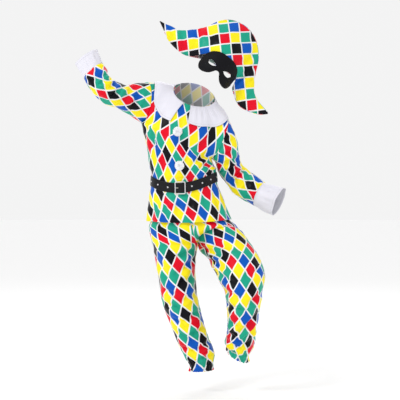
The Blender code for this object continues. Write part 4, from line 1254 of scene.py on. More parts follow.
def soft_wear_group():
    """Cloth that has been worn: faintly faded and greyed in broad patches."""
    tree, given, out = shader_group(
        "soft_wear",
        (
            ("Colour", "NodeSocketColor", (1, 1, 1, 1)),
            ("Place", "NodeSocketVector", None),
            ("Tone", "NodeSocketFloat", 0.5),
            ("Amount", "NodeSocketFloat", 0.12),
        ),
        (("Colour", "NodeSocketColor"), ("Wear", "NodeSocketFloat")),
    )
    broad = ramp_node(tree, noise_node(tree, given["Place"], 11.0, 4.0, 0.6), 0.35, 0.72)
    wear = math_node(tree, "MULTIPLY_ADD", broad, 0.6, math_node(tree, "MULTIPLY", given["Tone"], 0.4))
    amount = math_node(tree, "MULTIPLY", wear, given["Amount"])
    darker = mix_node(tree, amount, given["Colour"], (0.25, 0.25, 0.32, 1.0), "MULTIPLY")
    tree.links.new(darker, out["Colour"])
    tree.links.new(wear, out["Wear"])
    return tree


def stitch_group():
    """A row of stitches along a hem, and the slight furrow that they pull in the cloth."""
    tree, given, out = shader_group(
        "stitches",
        (("Hem", "NodeSocketVector", None), ("Inset", "NodeSocketFloat", 0.008)),
        (("Thread", "NodeSocketFloat"), ("Height", "NodeSocketFloat")),
    )
    split = add_node(tree, "ShaderNodeSeparateXYZ", {0: given["Hem"]}).outputs
    off = math_node(tree, "ABSOLUTE", math_node(tree, "SUBTRACT", split[1], given["Inset"]))
    on_row = ramp_node(tree, off, 0.0003, 0.0007, 1.0, 0.0)
    dash = ramp_node(tree, math_node(tree, "PINGPONG", split[0], 0.0016), 0.0011, 0.0013, 1.0, 0.0)
    thread = math_node(tree, "MULTIPLY", on_row, dash)
    furrow = ramp_node(tree, off, 0.0, 0.003, -0.6, 0.0)
    tree.links.new(thread, out["Thread"])
    tree.links.new(math_node(tree, "ADD", furrow, thread), out["Height"])
    return tree


def leather_grain_group():
    """Fine leather grain: pebbles with creases between them, and scuffed tops."""
    tree, given, out = shader_group(
        "leather_grain",
        (("Place", "NodeSocketVector", None), ("Pebble", "NodeSocketFloat", 900.0)),
        (("Height", "NodeSocketFloat"), ("Scuff", "NodeSocketFloat")),
    )
    cells = {"Vector": given["Place"], "Scale": given["Pebble"]}
    pebbles = add_node(tree, "ShaderNodeTexVoronoi", cells).outputs[0]
    broad = noise_node(tree, given["Place"], 90.0, 4.0, 0.6)
    tree.links.new(math_node(tree, "MULTIPLY_ADD", broad, 0.5, pebbles), out["Height"])
    tree.links.new(ramp_node(tree, broad, 0.5, 0.75), out["Scuff"])
    return tree


def brushed_group():
    """Long fine scratches of brushed metal, with dull patches where it is handled."""
    tree, given, out = shader_group(
        "brushed_metal",
        (("Place", "NodeSocketVector", None),),
        (("Height", "NodeSocketFloat"), ("Dull", "NodeSocketFloat")),
    )
    scratches = noise_node(tree, stretched(tree, given["Place"], 300.0, 300.0, 6000.0), 1.0, 2.0)
    patches = noise_node(tree, given["Place"], 160.0, 3.0)
    tree.links.new(scratches, out["Height"])
    dull = math_node(tree, "MULTIPLY_ADD", scratches, 0.4, math_node(tree, "MULTIPLY", patches, 0.6))
    tree.links.new(dull, out["Dull"])
    return tree


def the_group(name):
    """A shared shader group by its name, built the first time that it is asked for."""
    if name not in bpy.data.node_groups:
        SHADER_GROUPS[name]()
    return bpy.data.node_groups[name]


def place_group(tree, name, inputs):
    """What a shared group gives out, once it is placed in a tree."""
    return add_node(tree, "ShaderNodeGroup", inputs, node_tree=the_group(name)).outputs


def start_material(name, **constants):
    """A new material, its tree and its Principled shader, with the shader's own constants set."""
    material = bpy.data.materials.new(name)
    material.use_nodes = True
    tree = material.node_tree
    shader = tree.nodes["Principled BSDF"]
    for label, value in constants.items():
        shader.inputs[label.replace("_", " ")].default_value = value
    return material, tree, shader


def map_of(tree, name):
    return add_node(tree, "ShaderNodeUVMap", {}, uv_map=name).outputs[0]


def object_place(tree):
    return add_node(tree, "ShaderNodeTexCoord", {}).outputs["Object"]


def paint(tree, shader, colour, roughness=None):
    """Links a material's colour, and its roughness where that varies."""
    tree.links.new(colour, shader.inputs["Base Color"])
    if roughness is not None:
        tree.links.new(roughness, shader.inputs["Roughness"])


def bump(tree, shader, height, distance, strength):
    node = add_node(tree, "ShaderNodeBump", {"Height": height, "Distance": distance, "Strength": strength})
    tree.links.new(node.outputs[0], shader.inputs["Normal"])


def darker(colour, share):
    return (*(part * share for part in colour[:3]), 1)


def printed_base(tree, reverse, half_line):
    """The colour of printed satin. The reverse of the print is paler."""
    settings = bpy.context.scene.harlequin_costume
    inputs = {
        "Place": map_of(tree, "lattice"),
        "Dye": add_node(tree, "ShaderNodeVertexColor", {}, layer_name="dye_and_root_shade").outputs[0],
        "Line Colour": (*settings.line_colour, 1.0),
        "Half Width": half_line * settings.line_width / LINE_WIDTH,
    }
    base = place_group(tree, "diamond_print", inputs)["Colour"]
    return mix_node(tree, 0.5, base, (0.8, 0.8, 0.84, 1.0)) if reverse else base


def satin_material(name, colour=None, reverse=False, roughness=SATIN_ROUGHNESS, half_line=HALF_LINE):
    """Satin of one colour, or else printed with diamonds."""
    sheen = {"Sheen_Weight": 0.0 if reverse else 0.04, "Sheen_Roughness": 0.3, "Specular_IOR_Level": 0.14}
    material, tree, shader = start_material(name, **sheen)
    cloth = map_of(tree, "cloth")
    weave = place_group(tree, "satin_weave", {"Place": cloth})
    stitches = place_group(tree, "stitches", {"Hem": map_of(tree, "hem")})
    if colour is None:
        base = printed_base(tree, reverse, half_line)
    else:
        base = mix_node(tree, weave["Tone"], colour, darker(colour, 0.9))
    inputs = {"Colour": base, "Place": cloth, "Tone": weave["Tone"], "Amount": 0.14}
    worn = place_group(tree, "soft_wear", inputs)
    faint = math_node(tree, "MULTIPLY", stitches["Thread"], 0.3)
    sewn = mix_node(tree, faint, worn["Colour"], (0.2, 0.2, 0.24, 1.0), "MULTIPLY")
    paint(tree, shader, sewn, ramp_node(tree, weave["Tone"], 0.3, 0.7, *roughness))
    height = math_node(tree, "MULTIPLY_ADD", weave["Height"], 0.25, stitches["Height"])
    bump(tree, shader, height, 0.0004, 0.6)
    return material


def leather_material(name):
    """Black belt leather: fine grain, a soft gloss and greyer scuffs."""
    material, tree, shader = start_material(name, Specular_IOR_Level=0.25)
    cloth = map_of(tree, "cloth")
    grain = place_group(tree, "leather_grain", {"Place": cloth})
    stitches = place_group(tree, "stitches", {"Hem": map_of(tree, "hem"), "Inset": 0.0035})
    scuffed = mix_node(tree, grain["Scuff"], (0.002, 0.002, 0.004, 1.0), (0.008, 0.008, 0.011, 1.0))
    base = mix_node(tree, stitches["Thread"], scuffed, (0.03, 0.03, 0.032, 1.0))
    paint(tree, shader, base, ramp_node(tree, grain["Scuff"], 0.0, 1.0, 0.34, 0.6))
    bump(tree, shader, math_node(tree, "ADD", grain["Height"], stitches["Height"]), 0.00035, 0.6)
    return material


def steel_material(name):
    """Nickelled steel, brushed, a little dull where it is handled."""
    material, tree, shader = start_material(name, Metallic=1.0)
    brushed = place_group(tree, "brushed_metal", {"Place": object_place(tree)})
    base = mix_node(tree, brushed["Dull"], (0.86, 0.86, 0.88, 1.0), (0.66, 0.66, 0.68, 1.0))
    paint(tree, shader, base, ramp_node(tree, brushed["Dull"], 0.3, 0.7, 0.2, 0.4))
    bump(tree, shader, brushed["Height"], 0.00008, 0.5)
    return material


def yarn_material(name):
    """White brushed yarn, with painted shade that greys it towards the roots of the strands, and a faint
    painted glow.
    """
    # A faint emission: a painted glow that brightens the yarn.
    glow = {"Emission_Color": (1.0, 1.0, 1.0, 1.0), "Emission_Strength": 0.16}
    material, tree, shader = start_material(name, Roughness=0.85, Specular_IOR_Level=0.2, **glow)
    # The vertex colour layer carries painted shade that greys the strands towards their roots.
    root = add_node(tree, "ShaderNodeVertexColor", {}, layer_name="dye_and_root_shade").outputs[0]
    place = object_place(tree)
    tone = noise_node(tree, place, 420.0, 2.0)
    base = mix_node(tree, tone, (0.98, 0.98, 0.98, 1.0), (0.92, 0.92, 0.94, 1.0))
    paint(tree, shader, mix_node(tree, 1.0, base, root, "MULTIPLY"))
    bump(tree, shader, noise_node(tree, place, 1800.0, 2.0), 0.0002, 0.5)
    return material


def elastic_material(name):
    """Black ribbed elastic."""
    material, tree, shader = start_material(name, Specular_IOR_Level=0.35, Sheen_Weight=0.1)
    cloth = map_of(tree, "cloth")
    weave = place_group(tree, "satin_weave", {"Place": cloth, "Thread": 260.0})
    base = mix_node(tree, weave["Tone"], (0.008, 0.008, 0.01, 1.0), (0.03, 0.03, 0.034, 1.0))
    paint(tree, shader, base, ramp_node(tree, weave["Tone"], 0.0, 1.0, 0.5, 0.75))
    bump(tree, shader, weave["Height"], 0.0004, 0.8)
    return material


def floor_material(name):
    """Plain pale studio floor."""
    glow = {"Emission_Color": (1.0, 1.0, 1.0, 1.0), "Emission_Strength": 0.1}
    material, tree, shader = start_material(name, Roughness=0.8, Specular_IOR_Level=0.2, **glow)
    place = object_place(tree)
    base = (*bpy.context.scene.harlequin_costume.floor_colour, 1.0)
    paint(tree, shader, mix_node(tree, noise_node(tree, place, 3.0, 3.0), base, darker(base, 0.985)))
    bump(tree, shader, noise_node(tree, place, 400.0, 2.0), 0.0001, 0.2)
    return material


SHADER_GROUPS = {
    "diamond_print": diamond_print_group,
    "satin_weave": satin_weave_group,
    "soft_wear": soft_wear_group,
    "stitches": stitch_group,
    "leather_grain": leather_grain_group,
    "brushed_metal": brushed_group,
}
MATERIALS = {
    "printed_satin": satin_material,
    "printed_reverse": lambda name: satin_material(name, None, True, REVERSE_ROUGHNESS),
    "hat_print": lambda name: satin_material(name, half_line=HAT_HALF_LINE),
    "hat_print_reverse": lambda name: satin_material(name, None, True, REVERSE_ROUGHNESS, HAT_HALF_LINE),
    "plain_white_satin": lambda name: satin_material(name, WHITE),
    # The inner white is darker than the outer white: painted shade.
    "plain_white_reverse": lambda name: satin_material(name, WHITE_INSIDE, True),
    "plain_black_satin": lambda name: satin_material(name, MASK_BLACK, roughness=MASK_ROUGHNESS),
    "belt_leather": leather_material,
    "nickelled_steel": steel_material,
    "pompom_yarn": yarn_material,
    "ribbed_elastic": elastic_material,
    "studio_floor": floor_material,
}


def finish_of(*names):
    """The materials of these names, each made the first time that it is asked for."""
    return [bpy.data.materials.get(name) or MATERIALS[name](name) for name in names]


# Pieces

def from_lower_edge(grid):
    """How far each point lies from the last row, along its own column."""
    steps = np.linalg.norm(np.diff(grid, axis=0), axis=2)
    gaps = np.zeros(grid.shape[:2])
    gaps[:-1] = np.cumsum(steps[::-1], axis=0)[::-1]
    return gaps


def soft_step(values, low, high):
    """Rises softly from 0 at the low value to 1 at the high one."""
    share = np.clip((values - low) / (high - low), 0, 1)
    return share * share * (3 - 2 * share)


def collar_calm(grid):
    """0 under the collar and 1 well clear of it."""
    tree = surface_tree([GRIDS["collar_right"][0], GRIDS["collar_left"][0]])
    gaps = [tree.find_nearest(Vector(point))[3] for point in grid.reshape(-1, 3)]
    return soft_step(np.array(gaps).reshape(grid.shape[:2]), 6, 20)


def build_tunic():
    pieces = garment()
    places = np.concatenate([np.zeros(YOKE_ROWS + 1), finer(TUNIC_PLACES, TUNIC_STEPS)[1:]])
    beside_belt = soft_step(np.abs(places - 4.5), 0.5, 0.95)[:, None]
    for name, zones in (("tunic_front", FRONT_ZONES), ("tunic_back", BACK_ZONES)):
        grid, normals = pieces[name]
        flat = cloth_coordinates(grid, grid.shape[1] // 2)
        calm = seam_calm(*flat, "left right top") * collar_calm(grid) * beside_belt
        cloth = crumpled(grid, normals, TUNIC_CREASES, calm)
        hems = from_lower_edge(grid)
        lay(name, grid, cloth, normals, flat, PRINTED, "draped", zones=zones, hems=hems)


def build_sleeves():
    pieces = garment()
    places = finer(SLEEVE_PLACES, SLEEVE_STEPS)
    depths = 1.4 * np.sin(np.pi * np.clip((places - 4.4) / 1.6, 0, 1))
    for name, creases, zones, seed in (
        ("sleeve_right", RIGHT_SLEEVE_CREASES, RIGHT_SLEEVE_ZONES, 1),
        ("sleeve_left", LEFT_SLEEVE_CREASES, LEFT_SLEEVE_ZONES, 2),
    ):
        grid, normals = pieces[name]
        flat = cloth_coordinates(grid, grid.shape[1] // 4)
        cloth = crumpled(grid, normals, creases, seam_calm(*flat, "top bottom"))
        cloth = pleated(cloth, depths, CUFF_GATHERS, seed)
        lay(name, grid, cloth, normals, flat, PRINTED, "draped", zones=zones)


def build_cuffs():
    pieces = garment()
    for name, seed in (("cuff_right", 1), ("cuff_left", 2)):
        grid, normals = pieces[name]
        flat = cloth_coordinates(grid, grid.shape[1] // 4)
        cloth = crumpled(grid, normals, CUFF_CREASES, seam_calm(*flat, "top", 8))
        cloth = pleated(cloth, 1.8 * soft_step(np.arange(len(grid)), 0, len(grid) - 1), 4, seed)
        lay(name, grid, cloth, normals, flat, PLAIN_WHITE, "draped", hems=from_lower_edge(grid))


def build_collar():
    pieces = garment()
    for name, waves, depth, swell in (("collar_right", 7, 0.3, 1.0), ("collar_left", 38, 1.1, 0.9)):
        grid, normals = pieces[name]
        u = np.linspace(0, 1, grid.shape[1])[None]
        share = np.linspace(0, 1, grid.shape[0])[:, None]
        gathers = depth * (1 - share) ** 1.2 * (1 + np.cos(2 * np.pi * waves * u + 1.3 * np.sin(11 * u)))
        long_wave = 1 + np.cos(2 * np.pi * waves * 0.27 * u + 2.1 * np.sin(5 * u))
        folds = swell * np.sin(np.pi * share) ** 0.8 * long_wave
        cloth = grid + normals * (gathers + folds)[..., None]
        flat = cloth_coordinates(grid, 0)
        under = ("tunic_front_cloth", "tunic_back_cloth")
        lay(name, grid, cloth, normals, flat, PLAIN_WHITE, "gathered", under, hems=from_lower_edge(grid))


def build_trousers():
    legs = [leg_grid(RIGHT_LEG, True, RIGHT_LEG_FOLDS), leg_grid(LEFT_LEG, False, LEFT_LEG_FOLDS)]
    smooth_legs = [leg[0] for leg in legs]
    all_normals = outward_normals(smooth_legs, [row_centres(grid) for grid in smooth_legs])
    for (grid, above, tube_places), normals, name, creases, zones, seed in zip(
        legs,
        all_normals,
        ("trouser_leg_right", "trouser_leg_left"),
        (RIGHT_LEG_CREASES, LEFT_LEG_CREASES),
        (RIGHT_LEG_ZONES, LEFT_LEG_ZONES),
        (1, 2),
    ):
        places = np.concatenate([np.zeros(above), tube_places])
        across, down = cloth_coordinates(grid, LEG_COLUMNS // 4)
        flat = (-across, down) if name.endswith("right") else (across, down)
        calm = seam_calm(across, down, "top", 30) * (1 - 0.8 * soft_step(places, 8.3, 9))[:, None]
        open_part = seam_calm(across, down, "left right")
        calm[: above + 1] *= open_part[: above + 1]
        cloth = crumpled(grid, normals, creases, calm)
        channel = np.exp(-(((places - 8.5) / 0.8) ** 2)) * 1.5 + 0.5
        hem = 0.5 + 3.2 * np.clip(places - 9, 0, 1)
        depths = np.where(places < 9, channel, hem) * soft_step(places, 6.4, 8)
        cloth = pleated(cloth, depths, ANKLE_PLEATS, seed)
        hems = from_lower_edge(grid)
        lay(name, grid, cloth, normals, flat, PRINTED, "gathered", zones=zones, hems=hems)
    angles = np.linspace(90, 450, 2 * LEG_COLUMNS + 1)
    grid, way_out = waistband_grid(angles, np.linspace(*WAISTBAND_PLACES, 9))
    flat = cloth_coordinates(grid, 0)
    lay("trouser_waistband", grid, grid, way_out, flat, PRINTED, "gathered", zones=LEG_BAND_ZONES)


def build_belt():
    track = belt_track()
    girth = track[1][-1]
    tail = girth + BELT_TAIL
    before, after = (girth + place for place in BELT_AT_BUCKLE)
    round_step, buckle_step, tail_step = BELT_STEPS
    distances = np.concatenate([
        np.arange(BELT_FIXED_END, before, round_step),
        np.arange(before, after, buckle_step),
        np.arange(after, tail, tail_step),
        [tail],
    ])
    rows = np.linspace(0, 1, BELT_ROWS)
    into_end = np.clip((distances - tail + BELT_END_ROUND) / BELT_END_ROUND, 0, 0.97)
    half = np.sqrt(np.clip(1 - into_end**2, 0, 1))
    grid = np.empty((BELT_ROWS, len(distances), 3))
    out = np.empty_like(grid)
    for row, share in enumerate(rows):
        edge = min(share, 1 - share)
        for column, distance in enumerate(distances):
            sunk = BELT_EDGE_ROUND * math.exp(-((edge / 0.05) ** 2))
            lift = belt_lift(track, distance) + BELT_WALL / 2 - sunk
            place = 0.5 + (share - 0.5) * half[column]
            grid[row, column], out[row, column] = belt_point(track, distance, place, lift)
    width = float(np.linalg.norm(grid[0, 0] - grid[-1, 0]))
    flat = np.broadcast_arrays(distances[None], rows[:, None] * width)
    first, last = PRONG_HOLE
    middle = BELT_ROWS // 2
    slot = [column for column, distance in enumerate(distances) if first < distance - girth < last - 1]
    holes = {(row, column) for row in (middle - 1, middle) for column in slot}
    add_cloth("belt_leather", "belt_strap", grid, out, flat, ("belt_leather",), wall=BELT_WALL, holes=holes)
    build_studs(track)
    build_buckle(track)
    build_prong(track)


def belt_frame(track, distance, lift):
    """A point on the belt's middle with the ways along, up and out of it."""
    centre, out = belt_point(track, distance, 0.5, lift)
    up = unit(belt_point(track, distance, 1, 0)[0] - belt_point(track, distance, 0, 0)[0])
    return centre, unit(np.cross(up, out)), up, out


def build_studs(track):
    """Domed studs with a thin rim, all along the belt."""
    girth = track[1][-1]
    shape = bmesh.new()
    turns = np.arange(STUD_SIDES) * 2 * math.pi / STUD_SIDES
    nodes = []
    for distance in np.arange(STUD_FIRST, girth - STUD_FIRST / 2, STUD_SPACING):
        nodes.append(f"belt_stud_{len(nodes) + 1:02d}")
        run = distance if distance > BELT_TAIL else distance + girth
        centre, along, up, out = belt_frame(track, run, belt_lift(track, run) + BELT_WALL / 2 + 0.1)
        rings = []
        for radius, height in STUD_PROFILE:
            spokes = [along * math.cos(turn) + up * math.sin(turn) for turn in turns]
            ring = [centre + spoke * radius * STUD_RADIUS + out * height for spoke in spokes]
            rings.append([shape.verts.new(point * MM) for point in ring])
        add_rings(shape, rings)
    obj = finished("belt_studs", shape, finish_of("nickelled_steel"))
    placed(obj, *nodes)


def skin(shape, lower, upper):
    """Smooth faces between two rings of as many points."""
    for side in range(len(lower)):
        following = (side + 1) % len(lower)
        shape.faces.new((lower[side], lower[following], upper[following], upper[side])).smooth = True


def add_rings(shape, rings, joined=False):
    """Skins rings of points in order, closing both ends, or back to the first where they are joined."""
    for lower, upper in zip(rings, rings[1:]):
        skin(shape, lower, upper)
    if joined:
        skin(shape, rings[-1], rings[0])
    else:
        shape.faces.new(rings[0][::-1])
        shape.faces.new(rings[-1]).smooth = True
    bmesh.ops.recalc_face_normals(shape, faces=shape.faces[:])


def build_buckle(track):
    """The buckle's rounded bars, tilted to lie over the strap's end."""
    centre, along, up, out = belt_frame(track, 0, 0)
    half_x = (BUCKLE_WIDTH - BUCKLE_BAR) / 2 - BUCKLE_CORNER
    half_y = (BUCKLE_HEIGHT - BUCKLE_BAR) / 2 - BUCKLE_CORNER
    middle = centre + out * (BUCKLE_LIFT + BUCKLE_WALL / 2)
    shape = bmesh.new()
    rings = []
    for corner, (x, y) in enumerate(((1, 1), (-1, 1), (-1, -1), (1, -1))):
        for turn in np.linspace(0, math.pi / 2, 7) + corner * math.pi / 2:
            side = np.array((math.cos(turn), math.sin(turn)))
            at = np.array((x * half_x, y * half_y)) + side * BUCKLE_CORNER
            ring = []
            for section_turn in np.arange(BAR_SIDES) * 2 * math.pi / BAR_SIDES:
                c, s = math.cos(section_turn), math.sin(section_turn)
                wide = math.copysign(abs(c) ** BAR_SQUARENESS, c) * BUCKLE_BAR / 2
                high = math.copysign(abs(s) ** BAR_SQUARENESS, s) * BUCKLE_WALL / 2
                aside, above = at + side * wide
                rise = BUCKLE_TILT * (aside - BUCKLE_LEVEL_AT)
                spot = middle + along * aside + up * above + out * (high + rise)
                ring.append(shape.verts.new(spot * MM))
            rings.append(ring)
    add_rings(shape, rings, joined=True)
    placed(finished("buckle_bars", shape, finish_of("nickelled_steel")), "buckle_frame")


def build_prong(track):
    """The prong, and the pin that it swings about under the strap's end."""
    girth = track[1][-1]
    places = smooth(PRONG_PATH, np.linspace(0, len(PRONG_PATH) - 1, PRONG_RINGS))
    tapers = (1,) * (PRONG_RINGS - len(PRONG_TIP_TAPER)) + PRONG_TIP_TAPER
    shape = bmesh.new()
    rings = []
    for (place, lift), taper in zip(places, tapers):
        spot, _, up, out = belt_frame(track, girth + place, lift)
        ring = []
        for turn in np.arange(10) * math.pi / 5:
            wide = math.cos(turn) * PRONG_WIDTH / 2 * taper
            high = math.sin(turn) * PRONG_HALF_DEPTH * taper
            ring.append(shape.verts.new((spot + up * wide + out * high) * MM))
        rings.append(ring)
    add_rings(shape, rings)
    place, lift = PRONG_PATH[0]
    spot, along, up, out = belt_frame(track, girth + place, lift)
    turns = np.arange(12) * math.pi / 6
    rings = []
    for height, width in PIN_RINGS:
        ring = [spot + up * height + (along * math.cos(t) + out * math.sin(t)) * width for t in turns]
        rings.append([shape.verts.new(point * MM) for point in ring])
    add_rings(shape, rings)
    placed(finished("buckle_prong_pin", shape, finish_of("nickelled_steel")), "buckle_prong")


def build_hat():
    columns = smooth(HAT, np.linspace(0, len(HAT) - 1, HAT_COLUMNS + 1))
    down = np.array((-math.sin(HEAD_ROLL), 0, -math.cos(HEAD_ROLL)))
    grids = []
    h = np.linspace(0, 1, HAT_ROWS + 1)
    for sign in (-1, 1):
        grid = np.empty((HAT_ROWS + 1, HAT_COLUMNS + 1, 3))
        for col, values in enumerate(columns):
            column = HatColumn(*values)
            depth = max(column.rim_depth, 0)
            top = np.array((column.top_x, HAT_MIDDLE, column.top_z))
            low = np.array((column.low_x, HAT_MIDDLE, column.low_z))
            if sign > 0:
                low = low + down * depth * HAT_BACK_DROP
            grid[:, col] = top + (low - top) * h[:, None]
            grid[:, col, 1] += sign * (depth * np.sin(np.pi * h / 2) + column.bulge * 4 * h * (1 - h))
        grids.append(grid)
    centres = []
    for grid in grids:
        centre = grid.copy()
        centre[..., 1] = HAT_MIDDLE
        centres.append(centre)
    for name, zones, grid, normals in zip(
        ("hat_front", "hat_back"), (HAT_ZONES, HAT_BACK_ZONES), grids, outward_normals(grids, centres)
    ):
        side = 1 if name.endswith("front") else -1
        developed = cloth_coordinates(grid, HAT_COLUMNS // 2)
        cloth = crumpled(grid, normals, HAT_CREASES, seam_calm(*developed, "left right", 30) * hat_calm(grid))
        flat = (grid[..., 0] * side, -grid[..., 2])
        trims = {"zones": zones, "hems": from_lower_edge(grid), "wall": HAT_WALL}
        lay(name, grid, cloth, normals, flat, HAT_PRINTED, "stretched", **trims)


def hat_calm(grid):
    """0 along the hat's top seam and lower edge, 1 between them."""
    lower = from_lower_edge(grid)
    upper = lower[:1] - lower
    return soft_step(np.minimum(lower, upper), 0, 14)


def build_mask():
    sides = smooth(MASK_SIDE, np.linspace(0, len(MASK_SIDE) - 1, MASK_COLUMNS + 1))
    left = [(-row[0], *row[1:]) for row in sides[:0:-1]]
    columns = np.array(left + [tuple(row) for row in sides])
    first, last = MASK_SIDE[EYE_COLUMNS[0]].along, MASK_SIDE[EYE_COLUMNS[1]].along
    away_from_ends = np.minimum(np.abs(columns[:, 0]) - first, last - np.abs(columns[:, 0]))
    opening = np.sqrt(np.clip(away_from_ends / EYE_ROUND, 0, 1))
    middle = (columns[:, 2] + columns[:, 3]) / 2
    half = (columns[:, 3] - columns[:, 2]) / 2 * opening
    heights = np.concatenate([
        low + (high - low) * np.linspace(0, 1, count)[:, None]
        for low, high, count in (
            (columns[:, 1], middle - half, MASK_ROWS_TO_EYE),
            (middle + half, columns[:, 4], MASK_ROWS_FROM_EYE),
        )
    ])
    eye_rows = (MASK_ROWS_TO_EYE - 1, MASK_ROWS_TO_EYE)
    grid = np.empty((*heights.shape, 3))
    normals = np.empty_like(grid)
    for (row, col), height in np.ndenumerate(heights):
        along = columns[col, 0]
        to_eye = [abs(height - heights[eye, col]) for eye in eye_rows] if half[col] > 0 else []
        to_edge = min(height - heights[0, col], heights[-1, col] - height, *to_eye)
        rolled = 0.7 * math.exp(-((to_edge / 1.8) ** 2))
        uneven = 0.5 * noise.fractal(Vector((along, height, 3)) * 0.05, 0.9, 2.1, 3)
        grid[row, col] = on_head(along, height, MASK_WALL + rolled + uneven)
        normals[row, col] = unit(grid[row, col] - on_head(along, height, -8))
    flat = (np.broadcast_to(columns[:, 0], heights.shape), heights)
    open_columns = [col for col in range(len(columns) - 1) if half[col] > 0 or half[col + 1] > 0]
    trims = {
        "hems": heights - heights[0],
        "wall": MASK_WALL,
        "holes": {(MASK_ROWS_TO_EYE - 1, col) for col in open_columns},
    }
    lay("mask", grid, grid, normals, flat, ("plain_black_satin",), "stretched", **trims)


def build_elastic():
    path = smooth(ELASTIC, np.linspace(0, len(ELASTIC) - 1, ELASTIC_COLUMNS))
    grid = np.empty((ELASTIC_ROWS, len(path), 3))
    normals = np.empty_like(grid)
    for col, (x, y, up) in enumerate(path):
        away = unit(np.array((x, y + 8)))
        for row, side in enumerate(np.linspace(-0.5, 0.5, ELASTIC_ROWS)):
            grid[row, col] = head_frame(x, y, up + side * ELASTIC_WIDTH)
            normals[row, col] = head_frame(away[0], away[1], 0) - HEAD_CENTRE
    flat = cloth_coordinates(grid, 0)
    finish = ("ribbed_elastic",)
    add_cloth("mask_elastic_band", "mask_elastic", grid, normals, flat, finish, wall=ELASTIC_WALL)


def build_pompoms():
    """Balls of fine tapered strands of yarn round a small core."""
    count = bpy.context.scene.harlequin_costume.pompom_strands
    for seed, name in enumerate(POMPOMS):
        low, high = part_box(name)
        centre = np.array(low + high) / 2 / MM
        chance = np.random.default_rng(20 + seed)
        shape = bmesh.new()
        dye_and_root_shade = shape.loops.layers.float_color.new("dye_and_root_shade")
        core = bmesh.ops.create_icosphere(shape, subdivisions=3, radius=POMPOM_CORE * MM)["verts"]
        for vertex in core:
            vertex.co += Vector(centre) * MM
        for number in range(count):
            z = 1 - 2 * (number + 0.5) / count
            turn = number * GOLDEN_ANGLE
            level = math.sqrt(1 - z * z)
            way = np.array((level * math.cos(turn), level * math.sin(turn), z))
            way = unit(way + chance.normal(0, 0.08, 3))
            add_strand(shape, centre, way, chance)
        # Painted shade: the strands are greyed towards the core, from 0.8 of white at the roots to full white
        # near the ball's surface.
        for face in shape.faces:
            for loop in face.loops:
                reach = np.linalg.norm(np.array(loop.vert.co) / MM - centre) / POMPOM_RADIUS
                tone = 0.8 + 0.2 * min(1.0, max(0.0, (reach - 0.45) / 0.4))
                loop[dye_and_root_shade] = (tone, tone, tone * 1.02, 1.0)
        obj = placed(finished(f"{name}_yarn", shape, finish_of("pompom_yarn")), name)


def add_strand(shape, centre, way, chance):
    """One strand: a thin tapered tube with a slight curl, from the core to the ball's surface."""
    reach = POMPOM_RADIUS * (0.92 + 0.12 * chance.random())
    side = unit(np.cross(way, (0.3, 0.5, 0.8)))
    other = np.cross(way, side)
    curl = chance.normal(0, 1.6, 2)
    rings = []
    for share, width in STRAND_RINGS:
        spot = centre + way * reach * share + (side * curl[0] + other * curl[1]) * share**2
        ring = [spot + (side * math.cos(turn) + other * math.sin(turn)) * width for turn in STRAND_CORNERS]
        rings.append([shape.verts.new(point * MM) for point in ring])
    for lower, upper in zip(rings, rings[1:]):
        skin(shape, lower, upper)
    shape.faces.new(rings[-1])


# Studio

def build_studio():
    """A plain pale floor, soft light and a camera at the photograph's angle."""
    shape = bmesh.new()
    turns = np.arange(FLOOR_SIDES) * 2 * math.pi / FLOOR_SIDES
    rings = [
        [shape.verts.new((radius * math.cos(turn), radius * math.sin(turn), FLOOR_LEVEL)) for turn in turns]
        for radius in FLOOR_RINGS
    ]
    for lower, upper in zip(rings, rings[1:]):
        for side in range(FLOOR_SIDES):
            following = (side + 1) % FLOOR_SIDES
            shape.faces.new((lower[side], upper[side], upper[following], lower[following]))
    shape.faces.new(rings[0])
    bmesh.ops.recalc_face_normals(shape, faces=shape.faces[:])
    if sum(face.normal.z for face in shape.faces) < 0:
        bmesh.ops.reverse_faces(shape, faces=shape.faces[:])
    finished("floor", shape, finish_of("studio_floor"))

    scene = bpy.context.scene
    world = bpy.data.worlds.new("studio")
    world.use_nodes = True
    background = world.node_tree.nodes["Background"]
    background.inputs["Color"].default_value = (1.0, 1.0, 1.0, 1.0)
    background.inputs["Strength"].default_value = scene.harlequin_costume.surround
    scene.world = world
    for name, place, size, power in SOFT_LIGHTS:
        lamp = bpy.data.lights.new(name, "AREA")
        lamp.shape = "DISK"
        lamp.size = size
        lamp.energy = power
        obj = bpy.data.objects.new(name, lamp)
        obj.location = place
        obj.rotation_euler = (Vector(LIGHTS_AIM) - Vector(place)).to_track_quat("-Z", "Y").to_euler()
        scene.collection.objects.link(obj)

    camera = bpy.data.cameras.new("camera")
    camera.lens = CAMERA_LENS
    camera.sensor_width = CAMERA_SENSOR
    obj = bpy.data.objects.new("camera", camera)
    obj.location = CAMERA_PLACE
    obj.rotation_euler = (math.radians(90), 0, 0)
    scene.collection.objects.link(obj)
    scene.camera = obj
    scene.view_settings.view_transform = "Standard"


# Add-on

